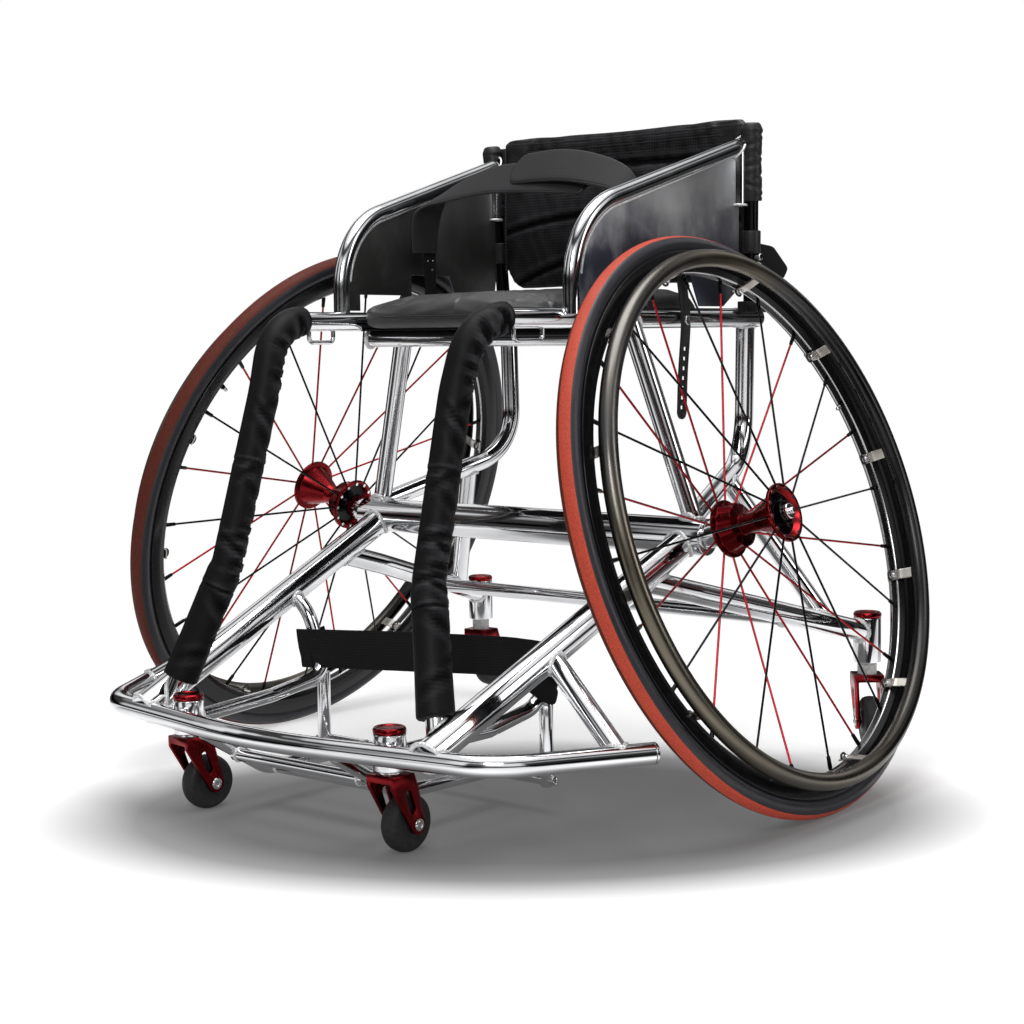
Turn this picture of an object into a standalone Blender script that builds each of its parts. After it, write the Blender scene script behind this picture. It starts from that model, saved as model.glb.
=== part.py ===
"""Basketball wheelchair: cambered wheels, a front wing bar and two anti-tip casters.

Metres, +Z up, floor at z = 0. The chair faces -Y and +X is the user's left.
A name ending in _L is a piece on the +X side and one ending in _R its twin at -X.
"""

import math
from collections import namedtuple

import bmesh
import bpy
from mathutils import Matrix, Vector

# Clearances and facets
GAP = 0.0003
TUBE_SIDES = 12
THIN_SIDES = 8
ARC_STEP = math.radians(22.5)
LATHE_STEPS = 16
WHEEL_STEPS = 36

# Main wheels
CAMBER = math.radians(17.3)
HUB_X = 0.316
TYRE_RADIUS = 0.320
TYRE_FLANK = [(0.0234, 0.0088), (0.0190, 0.0090), (0.0130, 0.0125), (0.0045, 0.0100)]
TYRE_HALF = [(TYRE_RADIUS - depth, height) for depth, height in TYRE_FLANK]
HUB_Z = max(r * math.cos(CAMBER) + z * math.sin(CAMBER) for r, z in [*TYRE_HALF, (TYRE_RADIUS, 0)])
RIM_FLANK = [(0.0430, 0.0050), (0.0375, 0.0100), (0.0195, 0.0115), (0.0195, 0.0094), (0.0238, 0.0091)]
RIM_HALF = [(TYRE_RADIUS - depth, height) for depth, height in RIM_FLANK]
RIM_INNER = RIM_HALF[0][0]
WHEEL_STEP_HALF = math.pi / WHEEL_STEPS
RIM_FLAT = RIM_INNER * math.cos(WHEEL_STEP_HALF) - GAP
TABS = 12
TAB_ANGLE = math.radians(11)
TAB_WIDTH = 0.012
HANDRIM_RADIUS = 0.285
HANDRIM_TUBE = 0.0095
HANDRIM_OFFSET = 0.030
TAB_TOP = RIM_INNER - 0.0012
TAB_UNDER = RIM_INNER - 0.0042
TAB_OUTLINE = [
    (HANDRIM_RADIUS - 0.0035, HANDRIM_OFFSET - 0.004),
    (TAB_TOP, 0.012),
    (TAB_TOP, -0.004),
    (TAB_UNDER, -0.004),
    (TAB_UNDER, 0.013),
    (HANDRIM_RADIUS - 0.0075, HANDRIM_OFFSET - 0.002),
]
VALVE_ANGLE = math.radians(26)
VALVE_RADIUS = 0.0025
VALVE_LENGTH = 0.015
SPOKES_A_SIDE = 12
SPOKE_SIDES = 4
SPOKE_RADIUS = 0.0014
NIPPLE_RADIUS = 0.0023
NIPPLE_LENGTH = 0.013
OUTER_SPOKE_ANGLE = math.radians(3.5)
INNER_SPOKE_ANGLE = math.radians(18.5)
RIGHT_WHEEL_TURN = math.radians(8)

# Hubs, axles and quick-release buttons, along each wheel's own axis
FLANGE_RADIUS = 0.032
FLANGE_OFFSET = 0.036
FLANGE_THICKNESS = 0.004
WAIST_RADIUS = 0.0115
WAIST_END = -0.003
BELL_RADIUS = 0.0285
BELL_END = -0.0165
CONE_RADIUS = 0.0260
DISH_RADIUS = 0.0245
DISH_DEPTH = 0.007
HUB_BORE = 0.0072
AXLE_RADIUS = 0.00635
AXLE_INNER_END = -0.075
AXLE_HEAD_RADIUS = 0.0085
AXLE_HEAD = (0.0395, 0.0445)
BUTTON_RADIUS = 0.0035
BUTTON_BORE = 0.0040
BUTTON_OUTER_END = 0.0485
BUTTON_LENGTH = 0.010
BUTTON_BORE_DEPTH = 0.012
PLUG_RADIUS = 0.015
PLUG_BORE = 0.0070
PLUG_FACE = -0.0392
PLUG_ROOT = -0.078

# Frame: corners of the tubes' centre lines on the +X side
CAMBER_TUBE_Z = HUB_Z - 0.0215
CAMBER_TUBE_RADIUS = 0.0205
CAMBER_TUBE_END = (0.255, 0, CAMBER_TUBE_Z)
SIDE_TUBE_REAR = (0.228, 0, CAMBER_TUBE_Z - 0.003)
SIDE_TUBE_FRONT = (0.204, -0.411, 0.108)
WING_END = (0.3565, -0.2618, 0.105)
WING_CORNER = (0.275, -0.398, 0.105)
WING_CENTRE = (0, -0.445, 0.105)
RAIL_REAR = (0.187, 0.212, 0.524)
RAIL_FRONT = (0.1435, -0.262, 0.524)
LEG_UPPER = (0.138, -0.284, 0.450)
LEG_KINK = (0.146, -0.338, 0.262)
LEG_END = (0.192, -0.381, 0.117)
ARM_START_Y = -0.087
ARM_BEND = (0.234, 0, CAMBER_TUBE_Z - 0.062)
REAR_TUBE_BEND = (0.1775, 0.1965, 0.358)
REAR_TUBE_END = (0.230, 0.004, CAMBER_TUBE_Z + 0.017)
HANGER_UPPER = (0.187, -0.178, 0.192)
HANGER_BEND = (0.1585, -0.176, 0.1165)
HANGER_MIDDLE = (0.160, -0.264, 0.1038)
STRUT_BOTTOM = (0.165, -0.175, 0.028)
STRUT_TOP_Z = 0.118
STRUT_RADIUS = 0.0078

# Foot bars across the chair: half length, y, z and radius, from front to rear
FOOT_BARS = [(0.095, -0.3805, 0.0665, 0.0067), (0.095, -0.3235, 0.0425, 0.0062), (0.165, -0.175, 0.0370, 0.0075)]

# Casters
CASTER_RADIUS = 0.0296
CASTER_TRAIL = 0.0215
CASTER_HALF_WIDTH = 0.0115
CASTER_BOLT_RADIUS = 0.0035
CASTER_BOLT_HEAD = (0.0060, 0.0012)
CASTER_BOLT_NUT = (0.0055, 0.001)
FORK_HALF_WIDTH = 0.018
FORK_SLOT_HALF = 0.013
FORK_CROWN = 0.0085
FORK_DROP = 0.0535
STEM_RADIUS = 0.006
STEM_BORE = 0.0070
HOUSING_RADIUS = 0.0165
CAP_HEIGHT = 0.0062
FRONT_CASTER = (0.146, -0.3985, CASTER_RADIUS + FORK_DROP)
FRONT_SPACER = (0.012, 0.0027)
FRONT_HOUSING = (0.0030, 0.0395)
REAR_CASTER = (0.302, 0.276, 0.098)
REAR_SPACER = (0.0115, 0.0137)
REAR_HOUSING = (0.0140, 0.0680)
FRONT_CASTER_TURN = {"L": 0.0, "R": math.radians(-7)}
REAR_CASTER_TURN = {"L": math.radians(219), "R": 0.0}

# Seat, side guards and backrest
GUARD_BASE = (0.168, -0.129, 0.528)
GUARD_TURN = math.radians(3.13)
GUARD_FRONT_TOP = 0.6326
GUARD_LENGTH = 0.303
GUARD_SLOPE = math.radians(16.5)
GUARD_BEND = 0.0975
GUARD_LEG_END = 0.655
GUARD_PLATE = 0.0025
POST_BASE = (0.187, 0.197, 0.524)
POST_TOP = (0.196, 0.185, 0.742)
POST_RADIUS = 0.0085
CLAMP = (0.600, 0.626)
CLAMP_RADIUS = 0.0115
POST_BOLT_DROP = 0.005
POST_BOLT_LENGTH = 0.0145
POST_BOLT_RADIUS = 0.004
SLING = (0.5130, 0.5150)
CUSHION_HALF_WIDTH = 0.140
CUSHION_Y = (-0.125, 0.162)
CUSHION_BOTTOM = 0.5153
CUSHION_FRONT = 0.546
CUSHION_RISE = 0.010
CUSHION_CROWN = 0.006
PAD_RADIUS = 0.018
BACK_TAIL = [
    (0.1970, 0.6120),
    (0.2293, 0.6131),
    (0.2639, 0.6102),
    (0.2995, 0.5846),
    (0.2873, 0.5703),
    (0.2364, 0.5906),
    (0.1970, 0.5910),
]
STRAP_END = [
    (-0.2216, 0.1397),
    (-0.1996, 0.1500),
    (-0.1860, 0.1480),
    (-0.1708, 0.1318),
    (-0.1761, 0.1187),
    (-0.1847, 0.1191),
    (-0.2017, 0.1271),
]

# The backrest panel and the sleeves that hold it on its posts
BACK_HALF_WIDTH = 0.186
BACK_Y = 0.196
BACK_BOTTOM = 0.566
BACK_TOP = 0.760
BACK_SAG = 0.012
BACK_BULGE = 0.018
BACK_BULGE_MIDDLE = -0.45
BACK_BULGE_REACH = 0.75
BACK_SHOULDER_X = 0.15
BACK_SHOULDER_RUN = 0.05
BACK_SHOULDER_DROP = 0.010
BACK_COLLAR_BOTTOM = 0.572
BACK_CHANNEL = 0.0035
BACK_CHANNELS = 5
BACK_TAIL_X = (0.1752, 0.1776)
SLEEVE_RADIUS = 0.0125
SLEEVE_Z = (0.660, 0.748)

# Webbing: the lap belt's right half from the rail to the middle, as centres and directions across it
BELT_HALF_WIDTH = 0.024
BELT_THICKNESS = 0.005
BELT_HALF = [
    ((0.1555, 0.003, 0.520), (0, 1, 0)),
    ((0.1545, 0.003, 0.630), (0, 1, 0)),
    ((0.1500, 0.005, 0.655), (-0.05, 0.98, 0.15)),
    ((0.1370, 0.010, 0.672), (-0.08, 0.90, 0.40)),
    ((0.1100, 0.018, 0.684), (-0.05, 0.80, 0.60)),
    ((0.0600, 0.026, 0.695), (0, 0.70, 0.70)),
    ((0, 0.030, 0.698), (0, 0.65, 0.76)),
]
CALF_HALF_WIDTH = 0.0225
CALF_THICKNESS = 0.0024
STRAP_END_X = (0.1765, 0.1790)

# The ladder strap: its bolt, and its middle line as offsets (y, z) from the bolt
LADDER_BOLT = (0.060, 0.521)
LADDER_LINE = [(-0.0110, 0.058), (-0.003, 0.02), (0, -0.005), (-0.006, -0.060), (-0.0085, -0.107)]
LADDER_HALF_WIDTH = 0.0065
LADDER_THICKNESS = 0.0024
LADDER_SLOTS = 7
LADDER_PITCH = 0.011
LADDER_STAND_OFF = 0.0022

Tube = namedtuple("Tube", "points bends radius")


def at_y(start, end, y):
    """The point with this y on the line from start to end."""
    start, end = Vector(start), Vector(end)
    return start.lerp(end, (y - start.y) / (end.y - start.y))


def mirrored(points, side):
    """The points on the +X side (side 1) or their mirror images (side -1)."""
    return [Vector((side * x, y, z)) for x, y, z in points]


ARM_START = at_y(SIDE_TUBE_REAR, SIDE_TUBE_FRONT, ARM_START_Y)
ARM_END = (REAR_CASTER[0], REAR_CASTER[1], 0.1470)
HANGER_TOP = at_y(SIDE_TUBE_REAR, SIDE_TUBE_FRONT, -0.176)
HANGER_END = (FRONT_CASTER[0], FRONT_CASTER[1], 0.101)
CROSS_TUBE_END = at_y(ARM_BEND, ARM_END, 0.136) - Vector((0, 0, 0.006))
STRUT_FOOT = at_y(ARM_BEND, ARM_END, 0.211)
STRUT_HEAD = at_y(REAR_TUBE_BEND, REAR_TUBE_END, 0.130)
WING_STRUT_HEAD = at_y(SIDE_TUBE_REAR, SIDE_TUBE_FRONT, -0.232)
WING_STRUT_FOOT = at_y(WING_CORNER, WING_END, -0.2865)
SEAT_STRUT_HEAD = at_y(RAIL_FRONT, RAIL_REAR, -0.021) + Vector((0.0018, 0.0006, -0.006))
SEAT_STRUT_FOOT = (0.2385, 0.006, CAMBER_TUBE_Z)
REAR_TUBE_HEAD = (0.181, 0.1955, RAIL_REAR[2])
RAIL_RADIUS = 0.011
LEG_BENDS = [0.060, 0.200, 0.050]

SIDE_TUBES = {
    "side_tube": Tube([SIDE_TUBE_REAR, SIDE_TUBE_FRONT], [], 0.016),
    "wing_strut": Tube([WING_STRUT_HEAD, WING_STRUT_FOOT], [], 0.011),
    "foot_hanger": Tube(
        [HANGER_TOP, HANGER_UPPER, HANGER_BEND, HANGER_MIDDLE, HANGER_END], [0.050, 0.030, 0], 0.008
    ),
    "seat_strut": Tube([SEAT_STRUT_HEAD, SEAT_STRUT_FOOT], [], 0.011),
    "rear_frame_tube": Tube([REAR_TUBE_HEAD, REAR_TUBE_BEND, REAR_TUBE_END], [0.068], 0.011),
    "antitip_arm": Tube([ARM_START, ARM_BEND, ARM_END], [0.120], 0.0127),
    "antitip_strut": Tube([STRUT_HEAD, STRUT_FOOT], [], 0.0105),
    "seat_rail": Tube([RAIL_REAR, RAIL_FRONT, LEG_UPPER, LEG_KINK, LEG_END], LEG_BENDS, RAIL_RADIUS),
    "back_post": Tube([POST_BASE, POST_TOP], [], POST_RADIUS),
}
CAMBER_TUBE = Tube(mirrored([CAMBER_TUBE_END], -1) + [CAMBER_TUBE_END], [], CAMBER_TUBE_RADIUS)
WING_BAR = Tube(
    mirrored([WING_END, WING_CORNER], -1) + [WING_CENTRE, WING_CORNER, WING_END],
    [0.088, 0.550, 0.088],
    0.011,
)

helpers = {}


def material(name, colour, roughness, metallic=0.0):
    """The material of this name, made when it is first asked for."""
    found = bpy.data.materials.get(name)
    if found:
        return found
    made = bpy.data.materials.new(name)
    made.use_nodes = True
    shader = made.node_tree.nodes["Principled BSDF"]
    shader.inputs["Base Color"].default_value = (*colour, 1)
    shader.inputs["Roughness"].default_value = roughness
    shader.inputs["Metallic"].default_value = metallic
    return made


def polished_aluminium():
    return material("polished_aluminium", (0.80, 0.81, 0.83), 0.12, 1)


def brushed_aluminium():
    return material("brushed_aluminium", (0.42, 0.43, 0.46), 0.35, 1)


def red_anodised():
    return material("red_anodised", (0.32, 0.010, 0.018), 0.25, 1)


def black_anodised():
    return material("black_anodised", (0.020, 0.020, 0.022), 0.25, 0.8)


def bronze_grey():
    return material("bronze_grey", (0.17, 0.16, 0.145), 0.35, 0.9)


def steel():
    return material("steel", (0.62, 0.62, 0.63), 0.22, 1)


def red_rubber():
    return material("red_rubber", (0.36, 0.045, 0.030), 0.65)


def black_rubber():
    return material("black_rubber", (0.022, 0.022, 0.024), 0.45)


def black_plastic():
    return material("black_plastic", (0.018, 0.018, 0.020), 0.4)


def black_webbing():
    return material("black_webbing", (0.016, 0.016, 0.018), 0.85)


def black_fabric():
    return material("black_fabric", (0.024, 0.024, 0.026), 0.8)


def black_vinyl():
    return material("black_vinyl", (0.030, 0.030, 0.033), 0.5)


def mesh_of(bm, name):
    """The finished mesh of a bmesh, with its faces turned outwards and its round faces shaded smooth."""
    bmesh.ops.recalc_face_normals(bm, faces=bm.faces)
    mesh = bpy.data.meshes.new(name)
    bm.to_mesh(mesh)
    bm.free()
    mesh.shade_smooth()
    mesh.set_sharp_from_angle(angle=math.radians(40))
    return mesh


def place(name, mesh, look, parent=None):
    """A visible piece of the chair."""
    piece = bpy.data.objects.new(name, mesh)
    bpy.context.scene.collection.objects.link(piece)
    piece.data.materials.clear()
    piece.data.materials.append(look)
    piece.parent = parent
    return piece


def helper(name, mesh):
    """A shape that only cuts or joins another one."""
    tool = bpy.data.objects.new(name, mesh)
    bpy.context.scene.collection.objects.link(tool)
    tool.hide_render = True
    tool.display_type = "WIRE"
    return tool


def combine(piece, operation, tool):
    """Adds a Boolean to a piece: UNION or DIFFERENCE with a helper."""
    modifier = piece.modifiers.new(f"{operation} {tool.name}", "BOOLEAN")
    modifier.operation = operation
    modifier.object = tool
    modifier.solver = "EXACT"


def cope(piece, *tools):
    """Shapes a piece's ends to the tubes that it meets."""
    for tool in tools:
        combine(piece, "DIFFERENCE", tool)


def baked(name, mesh, *steps):
    """A mesh with a row of (operation, helper mesh) Booleans applied, for pieces that share it."""
    work = helper(f"{name}.work", mesh)
    for number, (operation, other) in enumerate(steps):
        combine(work, operation, helper(f"{name}.step{number}", other))
    bpy.context.view_layer.update()
    result = work.evaluated_get(bpy.context.evaluated_depsgraph_get())
    finished = bpy.data.meshes.new_from_object(result)
    finished.name = name
    work.modifiers.clear()
    finished.shade_smooth()
    finished.set_sharp_from_angle(angle=math.radians(40))
    return finished


def corner_arc(before, corner, after, radius):
    """The points of an arc of this radius, tangent to both runs of a corner."""
    back, ahead = (before - corner).normalized(), (after - corner).normalized()
    half = back.angle(ahead) / 2
    centre = corner + (back + ahead).normalized() * radius / math.sin(half)
    start = corner + back * radius / math.tan(half) - centre
    turn = math.pi - 2 * half
    steps = max(2, math.ceil(turn / ARC_STEP))
    axis = ahead.cross(back)
    return [centre + Matrix.Rotation(turn * i / steps, 3, axis) @ start for i in range(steps + 1)]


def route_of(points, bends):
    """A tube's centre line: its ends, and the arc of each corner in between."""
    points = [Vector(point) for point in points]
    route = [points[0]]
    for number, radius in enumerate(bends, 1):
        corner = points[number]
        if radius:
            route += corner_arc(points[number - 1], corner, points[number + 1], radius)
        else:
            route.append(corner)
    return [*route, points[-1]]


def swept_mesh(name, route, radius, sides=TUBE_SIDES, scales=None):
    """A round bar along a route, closed at both ends; scales narrow it at each point."""
    curve = bpy.data.curves.new(name, "CURVE")
    curve.dimensions = "3D"
    curve.twist_mode = "MINIMUM"
    curve.bevel_depth = radius
    curve.bevel_resolution = sides // 2 - 2
    curve.use_fill_caps = True
    spline = curve.splines.new("POLY")
    spline.points.add(len(route) - 1)
    for number, (point, where) in enumerate(zip(spline.points, route)):
        point.co = (*where, 1)
        point.radius = scales[number] if scales else 1
    source = bpy.data.objects.new(name, curve)
    bm = bmesh.new()
    bm.from_mesh(bpy.data.meshes.new_from_object(source))
    bpy.data.objects.remove(source)
    bmesh.ops.remove_doubles(bm, verts=bm.verts, dist=1e-6)
    return mesh_of(bm, name)


def tube_mesh(name, tube, side=1, extra=0.0):
    """A tube on one side, or its cutter, wider and longer by extra."""
    route = route_of(mirrored(tube.points, side), tube.bends)
    route[0] += (route[0] - route[1]).normalized() * extra
    route[-1] += (route[-1] - route[-2]).normalized() * extra
    return swept_mesh(name, route, tube.radius + extra)


def lathe_mesh(name, profile, steps=LATHE_STEPS, closed=False, matrix=Matrix()):
    """A profile of (radius, height) turned about local Z. A closed profile makes a ring."""
    bm = bmesh.new()
    verts = [bm.verts.new((radius, 0, height)) for radius, height in profile]
    pairs = list(zip(verts, verts[1:]))
    if closed:
        pairs.append((verts[-1], verts[0]))
    edges = [bm.edges.new(pair) for pair in pairs]
    bmesh.ops.spin(
        bm,
        geom=verts + edges,
        axis=(0, 0, 1),
        cent=(0, 0, 0),
        steps=steps,
        angle=math.tau,
        use_merge=True,
    )
    bmesh.ops.remove_doubles(bm, verts=bm.verts, dist=1e-6)
    bm.transform(matrix)
    return mesh_of(bm, name)


def rod_mesh(name, radius, low, high, steps=LATHE_STEPS, matrix=Matrix()):
    """A plain cylinder on local Z."""
    return lathe_mesh(name, [(0, low), (radius, low), (radius, high), (0, high)], steps, matrix=matrix)


def prism_mesh(name, outline, low, high, matrix=Matrix()):
    """A flat outline in the local XY plane, as thick as from low to high."""
    bm = bmesh.new()
    floor = [bm.verts.new((x, y, low)) for x, y in outline]
    roof = [bm.verts.new((x, y, high)) for x, y in outline]
    bm.faces.new(floor)
    bm.faces.new(roof)
    count = len(outline)
    for number in range(count):
        after = (number + 1) % count
        bm.faces.new((floor[number], floor[after], roof[after], roof[number]))
    bm.transform(matrix)
    return mesh_of(bm, name)


def slab_mesh(name, front, back, columns, rows):
    """A closed soft form between two surfaces, each a function of u and v from -1 to 1, closed round its rim."""
    bm = bmesh.new()
    sheets = []
    for surface in (front, back):
        sheets.append(
            [
                [
                    bm.verts.new(surface(math.sin(math.pi * (i / columns - 0.5)), 2 * j / rows - 1))
                    for i in range(columns + 1)
                ]
                for j in range(rows + 1)
            ]
        )
    for sheet in sheets:
        for low, high in zip(sheet, sheet[1:]):
            for i in range(columns):
                bm.faces.new((low[i], low[i + 1], high[i + 1], high[i]))
    rims = [
        sheet[0] + [row[-1] for row in sheet[1:-1]] + sheet[-1][::-1] + [row[0] for row in sheet[-2:0:-1]]
        for sheet in sheets
    ]
    for i in range(len(rims[0])):
        after = (i + 1) % len(rims[0])
        bm.faces.new((rims[0][i], rims[0][after], rims[1][after], rims[1][i]))
    return mesh_of(bm, name)


def band_mesh(name, sections, thickness):
    """A flat band through sections of (centre, half width as a vector)."""
    bm = bmesh.new()
    rings = []
    for number, (centre, across) in enumerate(sections):
        before = sections[max(number - 1, 0)][0]
        after = sections[min(number + 1, len(sections) - 1)][0]
        normal = (after - before).cross(across).normalized() * thickness / 2
        corners = (across + normal, across - normal, -across - normal, normal - across)
        rings.append([bm.verts.new(centre + corner) for corner in corners])
    bm.faces.new(rings[0])
    bm.faces.new(rings[-1])
    for low, high in zip(rings, rings[1:]):
        for i in range(4):
            after = (i + 1) % 4
            bm.faces.new((low[i], low[after], high[after], high[i]))
    return mesh_of(bm, name)


def sheath(name, side=1):
    """A cutter of a tube's own route, wider by the gap, for whatever ends against that tube."""
    key = f"cut.{name}.{side}"
    if key not in helpers:
        tube = {"camber_tube": CAMBER_TUBE, "wing_bar": WING_BAR, **SIDE_TUBES}[name]
        helpers[key] = helper(key, tube_mesh(key, tube, side, GAP))
    return helpers[key]


def housing_cutter(centre, heights, side):
    """A cutter round a caster housing, wider by the gap."""
    key = f"cut.housing.{side}"
    if key not in helpers:
        x, y, z = centre
        low, high = heights
        where = Matrix.Translation((side * x, y, z))
        helpers[key] = helper(key, rod_mesh(key, HOUSING_RADIUS + GAP, low, high, matrix=where))
    return helpers[key]


def wheel_axis(side):
    """An empty at a wheel's centre, with local Z outwards along its axle and local Y up in its plane."""
    outward = Vector((side * math.cos(CAMBER), 0, math.sin(CAMBER)))
    across = Vector((0, side, 0))
    turn = Matrix((across, outward.cross(across), outward)).transposed().to_4x4()
    empty = bpy.data.objects.new(f"wheel_axis_{'L' if side > 0 else 'R'}", None)
    bpy.context.scene.collection.objects.link(empty)
    empty.matrix_world = Matrix.Translation((side * HUB_X, 0, HUB_Z)) @ turn
    bpy.context.view_layer.update()
    return empty


def both_flanks(half):
    """A cross-section that is the same on both flanks of a wheel, from the outer flank round to the inner."""
    return half + [(radius, -height) for radius, height in reversed(half)]


def tyre_mesh():
    profile = both_flanks(TYRE_HALF)
    profile.insert(len(TYRE_HALF), (TYRE_RADIUS, 0))
    return lathe_mesh("tyre", profile, WHEEL_STEPS, closed=True)


def rim_mesh():
    """A deep rim with its tyre channel, and the valve stem at its inner edge."""
    ring = lathe_mesh("rim", both_flanks(RIM_HALF), WHEEL_STEPS, closed=True)
    along = Matrix.Rotation(VALVE_ANGLE, 4, "Z") @ Matrix.Rotation(math.pi / 2, 4, "Y")
    valve = rod_mesh("valve", VALVE_RADIUS, RIM_INNER - VALVE_LENGTH, RIM_INNER + 0.003, 8, along)
    return baked("rim", ring, ("UNION", valve))


def tabs_mesh():
    """The bent tabs that carry the handrim, each bolted under the rim's inner edge."""
    bm = bmesh.new()
    for number in range(TABS):
        upright = Matrix.Rotation(math.pi / 2, 4, "X")
        turn = Matrix.Rotation(TAB_ANGLE + number * math.tau / TABS, 4, "Z")
        half = TAB_WIDTH / 2
        bm.from_mesh(prism_mesh("tab", TAB_OUTLINE, -half, half, turn @ upright))
    return mesh_of(bm, "tabs")


def handrim_mesh():
    rim_sides = 8
    profile = []
    for number in range(rim_sides):
        angle = math.tau * (number + 0.5) / rim_sides
        profile.append(
            (
                HANDRIM_RADIUS + HANDRIM_TUBE * math.cos(angle),
                HANDRIM_OFFSET + HANDRIM_TUBE * math.sin(angle),
            )
        )
    ring = lathe_mesh("handrim", profile, WHEEL_STEPS, closed=True)
    return baked("handrim", ring, ("UNION", tabs_mesh()))


def spokes_mesh():
    """Radial spokes with long nipples: one ring of them to each flange."""
    bm = bmesh.new()
    root = FLANGE_RADIUS - 0.004
    for offset, first in ((FLANGE_OFFSET, OUTER_SPOKE_ANGLE), (-FLANGE_OFFSET, INNER_SPOKE_ANGLE)):
        for number in range(SPOKES_A_SIDE):
            angle = first + number * math.tau / SPOKES_A_SIDE
            outward = Vector((math.cos(angle), math.sin(angle), 0))
            start = outward * root + Vector((0, 0, offset))
            end = outward * (RIM_FLAT - NIPPLE_RADIUS * 0.15)
            nipple = end + (start - end).normalized() * NIPPLE_LENGTH
            scales = [SPOKE_RADIUS / NIPPLE_RADIUS] * 2 + [1]
            bm.from_mesh(swept_mesh("spoke", [start, nipple, end], NIPPLE_RADIUS, SPOKE_SIDES, scales))
    return mesh_of(bm, "spokes")


def hub_mesh():
    """A turned hub: dished flanges, a short bell inboard, a slim waist and a long cone outboard."""
    rim = FLANGE_OFFSET + FLANGE_THICKNESS / 2
    inner = FLANGE_OFFSET - FLANGE_THICKNESS / 2
    dish = rim - DISH_DEPTH
    lip = DISH_RADIUS + 0.003
    boss = 0.0125
    profile = [
        (HUB_BORE, -dish),
        (DISH_RADIUS, -dish),
        (lip, -rim),
        (FLANGE_RADIUS, -rim),
        (FLANGE_RADIUS, -inner),
        (BELL_RADIUS, -inner),
        (BELL_RADIUS - 0.004, BELL_END - 0.001),
        (WAIST_RADIUS, BELL_END),
        (WAIST_RADIUS, WAIST_END),
        (CONE_RADIUS, inner),
        (FLANGE_RADIUS, inner),
        (FLANGE_RADIUS, rim),
        (lip, rim),
        (DISH_RADIUS, dish),
        (boss, dish),
        (boss, rim + 0.001),
        (HUB_BORE, rim + 0.001),
    ]
    body = lathe_mesh("hub", profile, closed=True)
    return baked("hub", body, ("UNION", spokes_mesh()))


def axle_mesh():
    """A quick-release axle with a blind bore in its head for the button."""
    low, high = AXLE_HEAD
    profile = [
        (0, AXLE_INNER_END),
        (AXLE_RADIUS - 0.001, AXLE_INNER_END),
        (AXLE_RADIUS, AXLE_INNER_END + 0.001),
        (AXLE_RADIUS, low),
        (AXLE_HEAD_RADIUS, low),
        (AXLE_HEAD_RADIUS, high - 0.001),
        (AXLE_HEAD_RADIUS - 0.001, high),
        (BUTTON_BORE, high),
        (BUTTON_BORE, high - BUTTON_BORE_DEPTH),
        (0, high - BUTTON_BORE_DEPTH),
    ]
    return lathe_mesh("axle", profile, 12)


def button_mesh():
    top = BUTTON_OUTER_END
    profile = [
        (0, top - BUTTON_LENGTH),
        (BUTTON_RADIUS, top - BUTTON_LENGTH),
        (BUTTON_RADIUS, top - 0.001),
        (BUTTON_RADIUS - 0.001, top),
        (0, top),
    ]
    return lathe_mesh("axle_button", profile, 8)


def main_wheels():
    """Both wheels from the same meshes: tyre, rim, hub with spokes, handrim, axle and its button."""
    pieces = (
        ("tyre", tyre_mesh(), red_rubber(), True),
        ("rim", rim_mesh(), black_anodised(), True),
        ("hub", hub_mesh(), red_anodised(), True),
        ("handrim", handrim_mesh(), bronze_grey(), True),
        ("axle", axle_mesh(), steel(), False),
        ("axle_button", button_mesh(), steel(), False),
    )
    for side, letter in ((1, "L"), (-1, "R")):
        axis = wheel_axis(side)
        for name, mesh, look, turns in pieces:
            piece = place(f"{name}_{letter}", mesh, look, axis)
            if turns and side < 0:
                piece.rotation_euler.z = RIGHT_WHEEL_TURN


def fork_outline():
    """A fork leg from the side: (y, z) from the crown back and down to the axle's eye."""
    crown = 0.0155
    eye = 0.010
    arc = [math.radians(angle) for angle in range(200, 381, 36)]
    rounded = [
        (CASTER_TRAIL + eye * math.cos(a), -FORK_DROP + eye * math.sin(a)) for a in arc
    ]
    return [(-crown, 0), (-crown, -0.012), *rounded, (crown + 0.005, -0.012), (crown, 0)]


def leg_window():
    """The slanted slot through both fork legs, as an outline of (y, z)."""
    long_half, short_half = 0.0085, 0.004
    slant = math.radians(20)
    end_steps = 3
    centre = Vector((0.0100, -0.0285))
    outline = []
    for start, offset in ((0, long_half), (math.pi, -long_half)):
        for step in range(end_steps + 1):
            angle = start + math.pi * step / end_steps
            local = Vector((short_half * math.cos(angle), offset + short_half * math.sin(angle)))
            turned = Matrix.Rotation(slant, 2) @ local
            outline.append(tuple(centre + turned))
    return outline


def sideways():
    """Turns a prism's outline into the YZ plane, with its thickness along X."""
    return Matrix(((0, 0, 1, 0), (1, 0, 0, 0), (0, 1, 0, 0), (0, 0, 0, 1)))


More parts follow.
